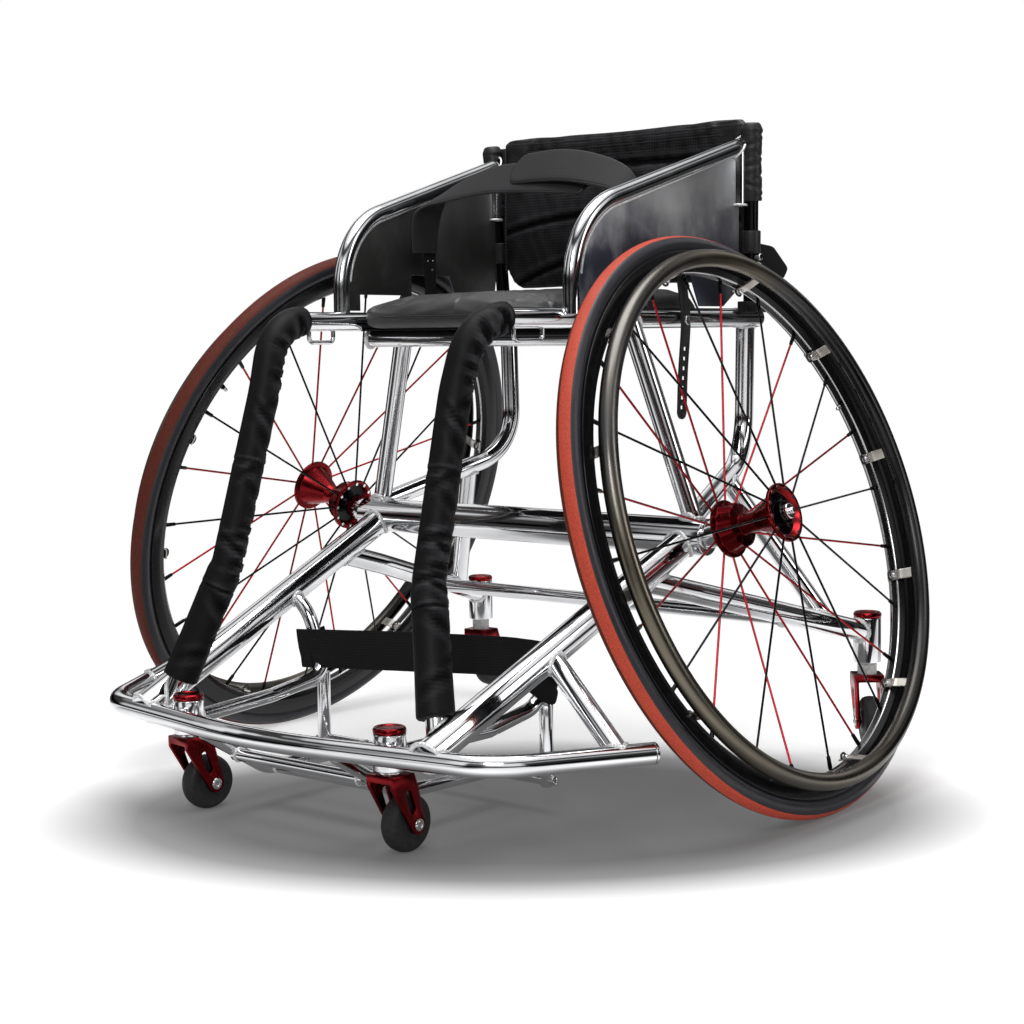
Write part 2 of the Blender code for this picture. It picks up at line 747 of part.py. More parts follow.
def fork_mesh(name, spacer, housing):
    """A caster fork with its spacer, stem and wheel bolt. Its origin is where the stem leaves the crown."""
    body = prism_mesh(name, fork_outline(), -FORK_HALF_WIDTH, FORK_HALF_WIDTH, sideways())
    slot_outline = [(-0.05, -FORK_CROWN), (0.06, -FORK_CROWN), (0.06, -0.08), (-0.05, -0.08)]
    slot = prism_mesh("slot", slot_outline, -FORK_SLOT_HALF, FORK_SLOT_HALF, sideways())
    window = prism_mesh("window", leg_window(), -0.03, 0.03, sideways())
    spacer_radius, spacer_height = spacer
    stem_top = housing[1] - 0.003
    post = lathe_mesh(
        "post",
        [
            (0, -0.003),
            (spacer_radius, -0.003),
            (spacer_radius, spacer_height),
            (STEM_RADIUS, spacer_height),
            (STEM_RADIUS, stem_top),
            (0, stem_top),
        ],
        12,
    )
    head_radius, head_rise = CASTER_BOLT_HEAD
    nut_radius, nut_rise = CASTER_BOLT_NUT
    sunk = 0.002
    bolt = lathe_mesh(
        "bolt",
        [
            (0, -FORK_HALF_WIDTH - nut_rise),
            (nut_radius, -FORK_HALF_WIDTH - nut_rise),
            (nut_radius, -FORK_HALF_WIDTH + sunk),
            (CASTER_BOLT_RADIUS, -FORK_HALF_WIDTH + sunk),
            (CASTER_BOLT_RADIUS, FORK_HALF_WIDTH - sunk),
            (head_radius, FORK_HALF_WIDTH - sunk),
            (head_radius, FORK_HALF_WIDTH + head_rise),
            (0, FORK_HALF_WIDTH + head_rise),
        ],
        8,
        matrix=Matrix.Translation((0, CASTER_TRAIL, -FORK_DROP)) @ Matrix.Rotation(math.pi / 2, 4, "Y"),
    )
    return baked(
        name, body, ("DIFFERENCE", slot), ("DIFFERENCE", window), ("UNION", post), ("UNION", bolt)
    )


def caster_wheel_mesh():
    half = [
        (0.0039, CASTER_HALF_WIDTH),
        (0.0130, CASTER_HALF_WIDTH - 0.0015),
        (0.0262, CASTER_HALF_WIDTH - 0.0015),
    ]
    profile = both_flanks(half)
    profile.insert(len(half), (CASTER_RADIUS, 0))
    turn = Matrix.Rotation(math.pi / 2, 4, "Y")
    return lathe_mesh("caster_wheel", profile, closed=True, matrix=turn)


def cap_mesh():
    """A domed dust cap with a shallow dish."""
    profile = [
        (0, 0),
        (HOUSING_RADIUS, 0),
        (HOUSING_RADIUS, CAP_HEIGHT - 0.002),
        (HOUSING_RADIUS - 0.002, CAP_HEIGHT),
        (0.0095, CAP_HEIGHT),
        (0.0085, CAP_HEIGHT - 0.001),
        (0, CAP_HEIGHT - 0.001),
    ]
    return lathe_mesh("caster_cap", profile)


def casters():
    """Four casters: fork, wheel and cap, each fork turning with its wheel about the stem."""
    wheel = caster_wheel_mesh()
    cap = cap_mesh()
    rows = (
        ("front", FRONT_CASTER, FRONT_SPACER, FRONT_HOUSING, FRONT_CASTER_TURN),
        ("rear", REAR_CASTER, REAR_SPACER, REAR_HOUSING, REAR_CASTER_TURN),
    )
    for where, (x, y, z), spacer, housing, turns in rows:
        fork = fork_mesh(f"{where}_caster_fork", spacer, housing)
        for side, letter in ((1, "L"), (-1, "R")):
            swivel = bpy.data.objects.new(f"{where}_caster_swivel_{letter}", None)
            bpy.context.scene.collection.objects.link(swivel)
            swivel.location = (side * x, y, z)
            swivel.rotation_euler.z = turns[letter]
            place(f"{where}_caster_fork_{letter}", fork, red_anodised(), swivel)
            roller = place(f"{where}_caster_wheel_{letter}", wheel, black_rubber(), swivel)
            roller.location = (0, CASTER_TRAIL, -FORK_DROP)
            lid = place(f"{where}_caster_cap_{letter}", cap, red_anodised())
            lid.location = (side * x, y, z + housing[1] + GAP)


def housing_mesh(name, centre, heights, side):
    """A plain bearing housing with a bore for the fork's stem."""
    x, y, z = centre
    low, high = heights
    profile = [(STEM_BORE, low), (HOUSING_RADIUS, low), (HOUSING_RADIUS, high), (STEM_BORE, high)]
    where = Matrix.Translation((side * x, y, z))
    return lathe_mesh(name, profile, closed=True, matrix=where)


def camber_tube():
    """The main cross tube, with the tilted plug that takes each wheel's axle."""
    piece = place("camber_tube", tube_mesh("camber_tube", CAMBER_TUBE), polished_aluminium())
    for side, letter in ((1, "L"), (-1, "R")):
        where = bpy.data.objects[f"wheel_axis_{letter}"].matrix_world
        plug = rod_mesh("plug", PLUG_RADIUS, PLUG_ROOT, PLUG_FACE, 16, where)
        bore = rod_mesh("bore", PLUG_BORE, AXLE_INNER_END - 0.001, 0.0, 16, where)
        combine(piece, "UNION", helper(f"plug.{letter}", plug))
        combine(piece, "DIFFERENCE", helper(f"plug_bore.{letter}", bore))


def wing_bar():
    """The front bumper bar with a domed plug in each end."""
    route = route_of(WING_BAR.points, WING_BAR.bends)
    scales = [1.0] * len(route)
    for angle in (0.35, 0.8, 1.2):
        for end, neighbour in ((0, 1), (-1, -2)):
            if end:
                route.append(route[-1] + (route[-1] - route[-2]).normalized() * 0.0035)
                scales.append(math.cos(angle))
            else:
                route.insert(0, route[0] + (route[0] - route[1]).normalized() * 0.0035)
                scales.insert(0, math.cos(angle))
    place("wing_bar", swept_mesh("wing_bar", route, WING_BAR.radius, scales=scales), polished_aluminium())


def foot_hanger(side, letter):
    """The bent tube under the side tube, with the footrest's drop strut and its clamp bolt."""
    name = f"foot_hanger_{letter}"
    piece = place(name, tube_mesh(name, SIDE_TUBES["foot_hanger"], side), polished_aluminium())
    x, y, low = STRUT_BOTTOM
    foot = [(x, y, STRUT_TOP_Z), (x, y, low + 0.006), (x, y, low + 0.002), (x, y, low)]
    strut = swept_mesh("strut", mirrored(foot, side), STRUT_RADIUS, scales=[1, 1, 0.85, 0.5])
    bolt_z = low + 0.008
    bolt = swept_mesh("bolt", mirrored([(x + 0.003, y, bolt_z), (x + 0.0115, y, bolt_z)], side), 0.0050, 8)
    combine(piece, "UNION", helper(f"drop_strut.{letter}", strut))
    combine(piece, "UNION", helper(f"clamp_bolt.{letter}", bolt))
    housing = housing_cutter(FRONT_CASTER, FRONT_HOUSING, side)
    cope(piece, sheath("side_tube", side), housing)


def antitip_arm(side, letter):
    """The arm behind each wheel with the rear caster's housing at its end."""
    name = f"antitip_arm_{letter}"
    piece = place(name, tube_mesh(name, SIDE_TUBES["antitip_arm"], side), polished_aluminium())
    x, y, z = REAR_CASTER
    housing = housing_mesh("rear_housing", REAR_CASTER, REAR_HOUSING, side)
    low, high = REAR_HOUSING
    where = Matrix.Translation((side * x, y, z))
    bore = rod_mesh("rear_bore", STEM_BORE, low - 0.01, high + 0.01, matrix=where)
    combine(piece, "UNION", helper(f"rear_housing.{letter}", housing))
    combine(piece, "DIFFERENCE", helper(f"rear_bore.{letter}", bore))
    cope(piece, sheath("side_tube", side))


def seat_rail(side, letter):
    """The seat rail and front leg in one bent tube, with a small wire loop under the rail."""
    name = f"seat_rail_{letter}"
    piece = place(name, tube_mesh(name, SIDE_TUBES["seat_rail"], side), polished_aluminium())
    front, rear = at_y(RAIL_FRONT, RAIL_REAR, -0.203), at_y(RAIL_FRONT, RAIL_REAR, -0.160)
    drop = Vector((0, 0, 0.0235))
    corners = [front - Vector((0, 0, 0.006)), front - drop, rear - drop, rear - Vector((0, 0, 0.006))]
    wire = swept_mesh("loop", route_of(mirrored(corners, side), [0.006, 0.006]), 0.0025, THIN_SIDES)
    combine(piece, "UNION", helper(f"wire_loop.{letter}", wire))
    cope(piece, sheath("side_tube", side))


def plain_tubes(side, letter):
    """The straight and bent tubes that only end against other tubes."""
    ends = {
        "side_tube": ("camber_tube", "wing_bar"),
        "wing_strut": ("side_tube", "wing_bar"),
        "seat_strut": ("camber_tube", "seat_rail", "side_tube"),
        "rear_frame_tube": ("camber_tube", "seat_rail", "seat_strut"),
        "antitip_strut": ("rear_frame_tube", "antitip_arm"),
    }
    for key, others in ends.items():
        name = f"{key}_{letter}"
        piece = place(name, tube_mesh(name, SIDE_TUBES[key], side), polished_aluminium())
        for other in others:
            whole = other in ("camber_tube", "wing_bar")
            cope(piece, sheath(other) if whole else sheath(other, side))


def cross_tube(name, end, radius, *others):
    """A tube straight across the chair, shaped to the tubes it ends on."""
    route = mirrored([end], -1) + [Vector(end)]
    piece = place(name, swept_mesh(name, route, radius), polished_aluminium())
    for other in others:
        for side in (1, -1):
            cope(piece, sheath(other, side))


def front_housing(side, letter):
    name = f"front_caster_housing_{letter}"
    mesh = housing_mesh(name, FRONT_CASTER, FRONT_HOUSING, side)
    cope(place(name, mesh, polished_aluminium()), sheath("wing_bar"))


def footrest():
    """Two sled tubes from the wing bar down and back to a cross tube, with two foot bars between them."""
    sled = [(0.096, -0.432, 0.0935), (0.096, -0.333, 0.0425), (0.097, -0.175, 0.0380)]
    parts = []
    for side in (1, -1):
        parts.append(swept_mesh("sled", route_of(mirrored(sled, side), [0.050]), 0.0075, THIN_SIDES))
    for half, y, z, radius in FOOT_BARS:
        parts.append(swept_mesh("foot_bar", [Vector((-half, y, z)), Vector((half, y, z))], radius, THIN_SIDES))
    piece = place("footrest_frame", parts[0], polished_aluminium())
    for number, mesh in enumerate(parts[1:]):
        combine(piece, "UNION", helper(f"footrest_part.{number}", mesh))
    cope(piece, sheath("wing_bar"))
    x, y, _ = STRUT_BOTTOM
    for side in (1, -1):
        strut = [Vector((side * x, y, z)) for z in (0.0, 0.09)]
        cope(piece, helper(f"cut.drop_strut.{side}", swept_mesh("strut", strut, STRUT_RADIUS + GAP)))


def guard_route():
    """The guard tube's centre line in its own plane: x along the seat, y up."""
    apex = GUARD_FRONT_TOP + GUARD_LENGTH * math.tan(GUARD_SLOPE)
    base = GUARD_BASE[2]
    points = [(0, base, 0), (0, GUARD_FRONT_TOP, 0), (GUARD_LENGTH, apex, 0), (GUARD_LENGTH, GUARD_LEG_END, 0)]
    return route_of(points, [GUARD_BEND, 0])


def guard_outline():
    """The guard plate's edge: under the tube, then along its three feet and the cut-outs between them."""
    foot = RAIL_REAR[2] + 0.013
    front_notch, rear_notch = 0.556, 0.581
    under_tube = [(point.x, point.y) for point in guard_route()[:-1]]
    feet = [
        (0.174, 0.575),
        (0.171, 0.556),
        (0.143, foot),
        (0.097, foot),
        (0.076, rear_notch),
        (0, rear_notch),
        (0, foot),
        (-0.018, foot),
        (-0.018, front_notch),
        (-0.097, front_notch),
        (-0.097, foot),
        (GUARD_BASE[1], foot),
    ]
    return under_tube[1:] + [(y - GUARD_BASE[1], z) for y, z in feet]


def guard_place(side):
    """From the guard's own plane to its place over the seat rail, mirrored for the other side."""
    x, y, _ = GUARD_BASE
    along = Vector((math.sin(GUARD_TURN), math.cos(GUARD_TURN), 0))
    up = Vector((0, 0, 1))
    turn = Matrix((along, up, along.cross(up))).transposed().to_4x4()
    return Matrix.Diagonal((side, 1, 1, 1)) @ Matrix.Translation((x, y, 0)) @ turn


def guard_tube(side, extra=0.0):
    route = [guard_place(side) @ point for point in guard_route()]
    return swept_mesh("guard_tube", route, 0.0095 + extra)


def side_guard(side, letter):
    """A bent tube round a sheet with feet, standing on the seat rail."""
    piece = place(f"side_guard_{letter}", guard_tube(side), brushed_aluminium())
    half = GUARD_PLATE / 2
    plate = prism_mesh("plate", guard_outline(), -half, half, guard_place(side))
    combine(piece, "UNION", helper(f"guard_plate.{letter}", plate))
    cope(piece, sheath("seat_rail", side), sheath("back_post", side))


def back_post(side, letter):
    """A backrest post with its clamp collar and bolt."""
    name = f"back_post_{letter}"
    piece = place(name, tube_mesh(name, SIDE_TUBES["back_post"], side), black_anodised())
    low, high = (on_post(side, z) for z in CLAMP)
    combine(piece, "UNION", helper(f"clamp.{letter}", swept_mesh("clamp", [low, high], CLAMP_RADIUS)))
    middle = low - Vector((0, 0, POST_BOLT_DROP))
    bolt = [middle, middle + Vector((side * POST_BOLT_LENGTH, 0, 0))]
    bolt_mesh = swept_mesh("bolt", bolt, POST_BOLT_RADIUS, 8)
    combine(piece, "UNION", helper(f"post_bolt.{letter}", bolt_mesh))
    cope(piece, sheath("seat_rail", side))


def seat_sling():
    """The stretched sheet under the cushion, from rail to rail."""
    low, high = SLING
    y_front, y_rear = -0.112, 0.166
    front, rear = at_y(RAIL_FRONT, RAIL_REAR, y_front).x, at_y(RAIL_FRONT, RAIL_REAR, y_rear).x
    outline = [(-front, y_front), (front, y_front), (rear, y_rear), (-rear, y_rear)]
    piece = place("seat_sling", prism_mesh("seat_sling", outline, low, high), black_webbing())
    for side in (1, -1):
        cope(piece, sheath("seat_rail", side), sheath("seat_strut", side))


def edge_fall(u, v, power):
    """How full a soft form is at u and v: 1 over most of it and 0 at its rim."""
    return math.sqrt(max(0, 1 - abs(u) ** power)) * math.sqrt(max(0, 1 - abs(v) ** power))


def seat_cushion():
    """A firm cushion, higher at the back, with a crown and drawn-in sides."""
    y_low, y_high = CUSHION_Y
    seam = CUSHION_BOTTOM + 0.013

    def spot(u, v, height):
        y = (y_low + y_high) / 2 + (y_high - y_low) / 2 * v
        return Vector((CUSHION_HALF_WIDTH * u, y, height))

    def top(u, v):
        v = math.sin(math.pi * v / 2)
        crown = CUSHION_FRONT + CUSHION_RISE * (v + 1) / 2 + CUSHION_CROWN * (1 - u * u)
        return spot(u, v, seam + 0.001 + (crown - seam) * edge_fall(u, v, 12))

    def bottom(u, v):
        v = math.sin(math.pi * v / 2)
        return spot(u, v, seam - (seam - CUSHION_BOTTOM) * math.sqrt(edge_fall(u, v, 12)))

    place("seat_cushion", slab_mesh("seat_cushion", top, bottom, 12, 10), black_vinyl())


def back_height(x):
    """The backrest's top edge: highest inboard of the posts and a little lower in the middle."""
    run_out = max(0, (abs(x) - BACK_SHOULDER_X) / BACK_SHOULDER_RUN)
    return BACK_TOP - BACK_SHOULDER_DROP * run_out**2


def on_post(side, z):
    """The point of a backrest post's centre line at this height."""
    base, top = (Vector(point) for point in mirrored([POST_BASE, POST_TOP], side))
    return base.lerp(top, (z - base.z) / (top.z - base.z))


def back_upholstery():
    """A padded back panel with level channels, the sleeves by which it hangs on the posts and a loose tail."""

    def spot(u, v, depth):
        x = BACK_HALF_WIDTH * u
        z = BACK_BOTTOM + (back_height(x) - BACK_BOTTOM) * (v + 1) / 2
        bulge = max(0, math.cos(math.pi / 2 * (v - BACK_BULGE_MIDDLE) / BACK_BULGE_REACH))
        bow = (BACK_SAG - BACK_BULGE * bulge) * (1 - u * u)
        return Vector((x, BACK_Y + bow + depth, z))

    def channel(v):
        return BACK_CHANNEL * abs(math.sin(BACK_CHANNELS / 2 * math.pi * (v + 1) / 2)) ** 0.5

    def front(u, v):
        return spot(u, v, -0.002 - (0.008 + channel(v)) * edge_fall(u, v, 10))

    def rear(u, v):
        return spot(u, v, 0.002 + 0.007 * edge_fall(u, v, 10))

    piece = place("back_upholstery", slab_mesh("back_upholstery", front, rear, 8, 15), black_fabric())
    combine(piece, "UNION", helper("back_tail", prism_mesh("back_tail", BACK_TAIL, *BACK_TAIL_X, sideways())))
    for side, letter in ((1, "L"), (-1, "R")):
        low, high = SLEEVE_Z
        route = [on_post(side, z) for z in (low, low + 0.008, high - 0.006, high)]
        sleeve = swept_mesh("sleeve", route, SLEEVE_RADIUS, scales=[0.85, 1, 1, 0.8])
        combine(piece, "UNION", helper(f"post_sleeve.{letter}", sleeve))
        guard = helper(f"cut.guard.{letter}", guard_tube(side, GAP))
        post = helper(f"cut.post.{letter}", tube_mesh("post", SIDE_TUBES["back_post"], side, GAP))
        lower = [on_post(side, z) for z in (BACK_COLLAR_BOTTOM, CLAMP[1] + 0.001)]
        collar = helper(f"cut.clamp.{letter}", swept_mesh("collar", lower, CLAMP_RADIUS + GAP))
        cope(piece, guard, post, collar)


def lap_belt():
    """The lap belt, sprung up into an arch between the two seat rails."""
    sections = []
    for side, rows in ((-1, BELT_HALF), (1, BELT_HALF[-2::-1])):
        for (x, y, z), (ax, ay, az) in rows:
            across = Vector((side * ax, ay, az)).normalized() * BELT_HALF_WIDTH
            sections.append((Vector((side * x, y, z)), across))
    piece = place("lap_belt", band_mesh("lap_belt", sections, BELT_THICKNESS), black_webbing())
    for side in (1, -1):
        cope(piece, sheath("seat_rail", side))


def calf_strap():
    """The wide strap behind the calves, wrapped round both foot hangers, with its free end outside the left one."""
    wrap = SIDE_TUBES["foot_hanger"].radius + GAP + CALF_THICKNESS / 2
    far_wrap = [(angle, 0.1465) for angle in range(120, 271, 30)]
    near_wrap = [(270, 0.164), (300, 0.162), (330, 0.158), (360, 0.153), (390, 0.149), (420, 0.147)]
    sections = []
    for side, rows in ((-1, far_wrap), (1, near_wrap)):
        high, low = mirrored([HANGER_UPPER, HANGER_BEND], side)
        lean = (high - low).normalized()
        for angle, height in rows:
            centre = low + lean * ((height - low.z) / lean.z)
            turn = math.radians(angle)
            offset = Vector((math.cos(turn), math.sin(turn), 0))
            offset -= lean * offset.dot(lean)
            sections.append((centre + offset.normalized() * wrap, lean * CALF_HALF_WIDTH))
    piece = place("calf_strap", band_mesh("calf_strap", sections, CALF_THICKNESS), black_webbing())
    combine(piece, "UNION", helper("strap_end", prism_mesh("strap_end", STRAP_END, *STRAP_END_X, sideways())))
    for side in (1, -1):
        cope(piece, sheath("foot_hanger", side), sheath("side_tube", side))


def leg_pad(side, letter):
    """A padded sleeve from the rail's front round the bend and down the leg."""
    start = at_y(RAIL_FRONT, RAIL_REAR, -0.215)
    foot = Vector(LEG_KINK).lerp(Vector(LEG_END), 0.86)
    name = f"leg_pad_{letter}"
    points = mirrored([start, RAIL_FRONT, LEG_UPPER, LEG_KINK, foot], side)
    mesh = swept_mesh(name, route_of(points, LEG_BENDS), PAD_RADIUS)
    cope(place(name, mesh, black_fabric()), sheath("seat_rail", side), sheath("side_tube", side))


def ladder_strap():
    """The notched ratchet strap on the left rail, hanging from its bolt."""
    y, z = LADDER_BOLT
    rail = at_y(RAIL_FRONT, RAIL_REAR, y)
    outline = [(a - LADDER_HALF_WIDTH, b) for a, b in LADDER_LINE]
    outline += [(a + LADDER_HALF_WIDTH, b) for a, b in reversed(LADDER_LINE)]
    half = LADDER_THICKNESS / 2
    body = prism_mesh("ladder_strap", outline, -half, half, sideways())
    steps = []
    for number in range(LADDER_SLOTS):
        low = -0.030 - LADDER_PITCH * number
        drift = 0.10 * (low + 0.005)
        slot = [(drift - 0.003, low), (drift + 0.003, low), (drift + 0.003, low - 0.004), (drift - 0.003, low - 0.004)]
        steps.append(("DIFFERENCE", prism_mesh("slot", slot, -0.01, 0.01, sideways())))
    bolt = rod_mesh("bolt", 0.0055, 0, 0.004, 12, Matrix.Rotation(math.pi / 2, 4, "Y"))
    mesh = baked("ladder_strap", body, *steps, ("UNION", bolt))
    piece = place("ladder_strap_L", mesh, black_plastic())
    piece.location = (rail.x + RAIL_RADIUS + GAP + LADDER_STAND_OFF, y, z)


def build():
    for old in list(bpy.data.objects):
        bpy.data.objects.remove(old)
    main_wheels()
    casters()
    camber_tube()
    wing_bar()
    for side, letter in ((1, "L"), (-1, "R")):
        front_housing(side, letter)
        plain_tubes(side, letter)
        foot_hanger(side, letter)
        antitip_arm(side, letter)
        seat_rail(side, letter)
        side_guard(side, letter)
        back_post(side, letter)
        leg_pad(side, letter)
    footrest()
    cross_tube("antitip_cross_tube", CROSS_TUBE_END, 0.011, "antitip_arm")
    cross_radius = 0.0095
    cross_tube("seat_cross_rear", at_y(RAIL_FRONT, RAIL_REAR, 0.178), cross_radius, "seat_rail")
    under_rail = Vector((0.157, -0.090, RAIL_FRONT[2] - RAIL_RADIUS - GAP - cross_radius))
    cross_tube("seat_cross_front", under_rail, cross_radius)
    seat_sling()
    seat_cushion()
    back_upholstery()
    lap_belt()
    calf_strap()
    ladder_strap()


build()
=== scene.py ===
"""The look of the basketball wheelchair, laid over its CAD solids in one shared frame.

Metres, +Z up, floor at z = 0. The chair faces -Y and +X is the user's left (the near side of the photo).
Tubes are swept along their centre lines, turned pieces are profiles turned about an axis, and weld beads
follow the line where one tube meets another.
"""

import math

import bmesh
import bpy
import numpy as np
from mathutils import Matrix, Vector


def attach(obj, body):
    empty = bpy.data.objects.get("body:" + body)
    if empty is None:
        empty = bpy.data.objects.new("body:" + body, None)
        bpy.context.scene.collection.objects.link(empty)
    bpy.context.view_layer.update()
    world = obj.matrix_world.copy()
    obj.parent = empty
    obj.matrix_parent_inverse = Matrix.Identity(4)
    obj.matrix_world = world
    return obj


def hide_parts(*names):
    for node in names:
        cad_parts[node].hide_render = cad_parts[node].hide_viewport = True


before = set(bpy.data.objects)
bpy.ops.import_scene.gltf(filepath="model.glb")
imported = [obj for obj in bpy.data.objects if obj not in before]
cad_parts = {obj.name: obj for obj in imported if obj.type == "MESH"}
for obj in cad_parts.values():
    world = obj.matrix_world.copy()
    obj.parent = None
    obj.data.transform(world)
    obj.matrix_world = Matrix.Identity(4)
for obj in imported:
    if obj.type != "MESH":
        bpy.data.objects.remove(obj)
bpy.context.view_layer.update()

SIDES = ((1, "L"), (-1, "R"))
TAU = math.tau

# The sizes of the solids
CAMBER = math.radians(17.3)
HUB_X, HUB_Z = 0.316, 0.30552
HANDRIM_RADIUS, HANDRIM_TUBE, HANDRIM_OFFSET = 0.285, 0.0095, 0.030
FLANGE_RADIUS, FLANGE_OFFSET, FLANGE_THICKNESS = 0.032, 0.036, 0.004
RIGHT_WHEEL_TURN = math.radians(8)
FRONT_CASTER, REAR_CASTER = (0.146, -0.3985, 0.0831), (0.302, 0.276, 0.098)
CASTER_TRAIL, FORK_DROP, CASTER_RADIUS = 0.0215, 0.0535, 0.0296
CAMBER_TUBE_END = (0.255, 0, 0.284)
SIDE_TUBE_REAR, SIDE_TUBE_FRONT = (0.228, 0, 0.281), (0.204, -0.411, 0.108)
WING_END, WING_CORNER, WING_CENTRE = (0.3565, -0.2618, 0.105), (0.275, -0.398, 0.105), (0, -0.445, 0.105)
RAIL_REAR, RAIL_FRONT = (0.187, 0.212, 0.524), (0.1435, -0.262, 0.524)
LEG_UPPER, LEG_KINK, LEG_END = (0.138, -0.284, 0.450), (0.146, -0.338, 0.262), (0.192, -0.381, 0.117)
LEG_BENDS = [0.060, 0.200, 0.050]
ARM_START, ARM_BEND, ARM_END = (0.222, -0.087, 0.2445), (0.234, 0, 0.222), (0.302, 0.276, 0.1470)
REAR_TUBE_BEND, REAR_TUBE_END = (0.1775, 0.1965, 0.358), (0.230, 0.004, 0.301)
HANGER_UPPER, HANGER_BEND, HANGER_MIDDLE = (0.187, -0.178, 0.192), (0.1585, -0.176, 0.1165), (0.160, -0.264, 0.1038)
POST_BASE, POST_TOP = (0.187, 0.197, 0.524), (0.196, 0.185, 0.742)
GUARD_BASE, GUARD_TURN = (0.168, -0.129, 0.528), math.radians(3.13)
GUARD_FRONT_TOP, GUARD_LENGTH, GUARD_SLOPE, GUARD_BEND = 0.6326, 0.303, math.radians(16.5), 0.0975
GUARD_LEG_END, GUARD_RADIUS, GUARD_SHEET = 0.655, 0.0095, 0.0025
CAMBER_TUBE_RADIUS, RAIL_RADIUS, HOUSING_RADIUS = 0.0205, 0.011, 0.0165
FRONT_HOUSING, REAR_HOUSING = (0.003, 0.0395), (0.014, 0.068)
DROP_X, DROP_Y = 0.165, -0.175
VALVE_ANGLE = math.radians(26)
GAP, TUBE_STEP, HOUSING_BORE = 0.0003, 0.004, 0.0064
PUFF_FRAMES = 20
QUARTER_TURN = Matrix.Rotation(math.pi / 2, 4, "Y")


# Vectors and routes


def vec(point):
    """A point or direction as an array."""
    return np.array(point, float)


def unit(v):
    """Vectors scaled to length one, row by row."""
    v = np.asarray(v, float)
    return v / np.maximum(np.linalg.norm(v, axis=-1, keepdims=True), 1e-12)


def mirrored(points, side):
    """The points with X times side, which is 1 on the user's left and -1 on the right."""
    return [vec(p) * (side, 1, 1) for p in points]


def at_y(a, b, y):
    """The point with this Y on the line through a and b."""
    a, b = vec(a), vec(b)
    return a + (b - a) * (y - a[1]) / (b[1] - a[1])


def along(a, b, share):
    """The point at this share of the way from a to b."""
    return vec(a) + (vec(b) - vec(a)) * share


def fillet(points, bends, step=math.radians(3)):
    """A line through the points with an arc of the given radius, tangent to both runs, at each corner."""
    points = [vec(p) for p in points]
    route = [points[0]]
    for k, radius in enumerate(bends, 1):
        before, corner, after = points[k - 1 : k + 2]
        if not radius:
            route.append(corner)
            continue
        back, ahead = unit(before - corner), unit(after - corner)
        half = math.acos(np.clip(back @ ahead, -1, 1)) / 2
        centre = corner + unit(back + ahead) * radius / math.sin(half)
        start = corner + back * radius / math.tan(half) - centre
        turn = math.pi - 2 * half
        count = max(2, math.ceil(turn / step))
        other = unit(np.cross(np.cross(back, ahead), start)) * radius
        if other @ (ahead - back) < 0:
            other = -other
        for i in range(count + 1):
            a = turn * i / count
            route.append(centre + math.cos(a) * start + math.sin(a) * other)
    route.append(points[-1])
    return np.array(route)


def moved(points, matrix):
    """The points after the matrix."""
    m = np.array(matrix)
    return np.asarray(points) @ m[:3, :3].T + m[:3, 3]


def steps_along(line):
    """The length of each step of a line."""
    return np.linalg.norm(np.diff(line, axis=0), axis=1)


def place_along(line):
    """How far along the line each of its points lies."""
    return np.concatenate([[0], np.cumsum(steps_along(line))])


def circle(centre, a, b, radius, count):
    """Points round a centre: the radius times (cosine times a plus sine times b)."""
    turn = np.arange(count) * TAU / count
    return np.array([centre + radius * (math.cos(t) * vec(a) + math.sin(t) * vec(b)) for t in turn])


def resampled(route, spacing):
    """The route at equal steps of about this spacing."""
    route = np.asarray(route, float)
    s = place_along(route)
    t = np.linspace(0, s[-1], max(2, round(s[-1] / spacing) + 1))
    return np.stack([np.interp(t, s, route[:, k]) for k in range(3)], 1)


def smooth_line(points, per_step=12):
    """A smooth cubic curve through rows of any width. Its slope at each row is half the difference of the
    neighbours."""
    p = np.asarray(points, float)
    p = np.vstack([2 * p[0] - p[1], p, 2 * p[-1] - p[-2]])
    out = []
    for k in range(1, len(p) - 2):
        a, b, c, d = p[k - 1 : k + 3]
        for t in np.arange(per_step) / per_step:
            out.append(
                0.5 * (2 * b + (c - a) * t + (2 * a - 5 * b + 4 * c - d) * t**2 + (3 * b - a - 3 * c + d) * t**3)
            )
    out.append(p[-2])
    return np.array(out)


def rounded(points, radius, steps=3, closed=False):
    """A flat outline with each corner eased by a short curve."""
    p = [vec(q) for q in points]
    n, out = len(p), []
    for k in range(n):
        if not closed and k in (0, n - 1):
            out.append(p[k])
            continue
        before, corner, after = p[k - 1], p[k], p[(k + 1) % n]
        reach_in = min(radius, np.linalg.norm(before - corner) * 0.45)
        reach_out = min(radius, np.linalg.norm(after - corner) * 0.45)
        a, b = corner + unit(before - corner) * reach_in, corner + unit(after - corner) * reach_out
        for i in range(steps + 1):
            t = i / steps
            out.append((1 - t) ** 2 * a + 2 * t * (1 - t) * corner + t * t * b)
    return out


# Surfaces


def linked(name, data):
    """A new object in the scene."""
    made = bpy.data.objects.new(name, data)
    bpy.context.scene.collection.objects.link(made)
    return made


def baked(piece):
    """A new mesh of the object as its modifiers leave it."""
    return bpy.data.meshes.new_from_object(piece.evaluated_get(bpy.context.evaluated_depsgraph_get()))


def faced_outward(mesh, edit=None):
    """The mesh after an edit, with its faces turned outward."""
    work = bmesh.new()
    work.from_mesh(mesh)
    if edit:
        edit(work)
    bmesh.ops.recalc_face_normals(work, faces=work.faces)
    work.to_mesh(mesh)
    work.free()
    return mesh


def rows_of(items, key):
    """A vector value of each item of a mesh, as rows of three."""
    values = np.zeros(len(items) * 3)
    items.foreach_get(key, values)
    return values.reshape(-1, 3)


def give_slots(mesh, chosen):
    """Puts the chosen faces in the second material slot."""
    mesh.polygons.foreach_set("material_index", chosen.astype(int))


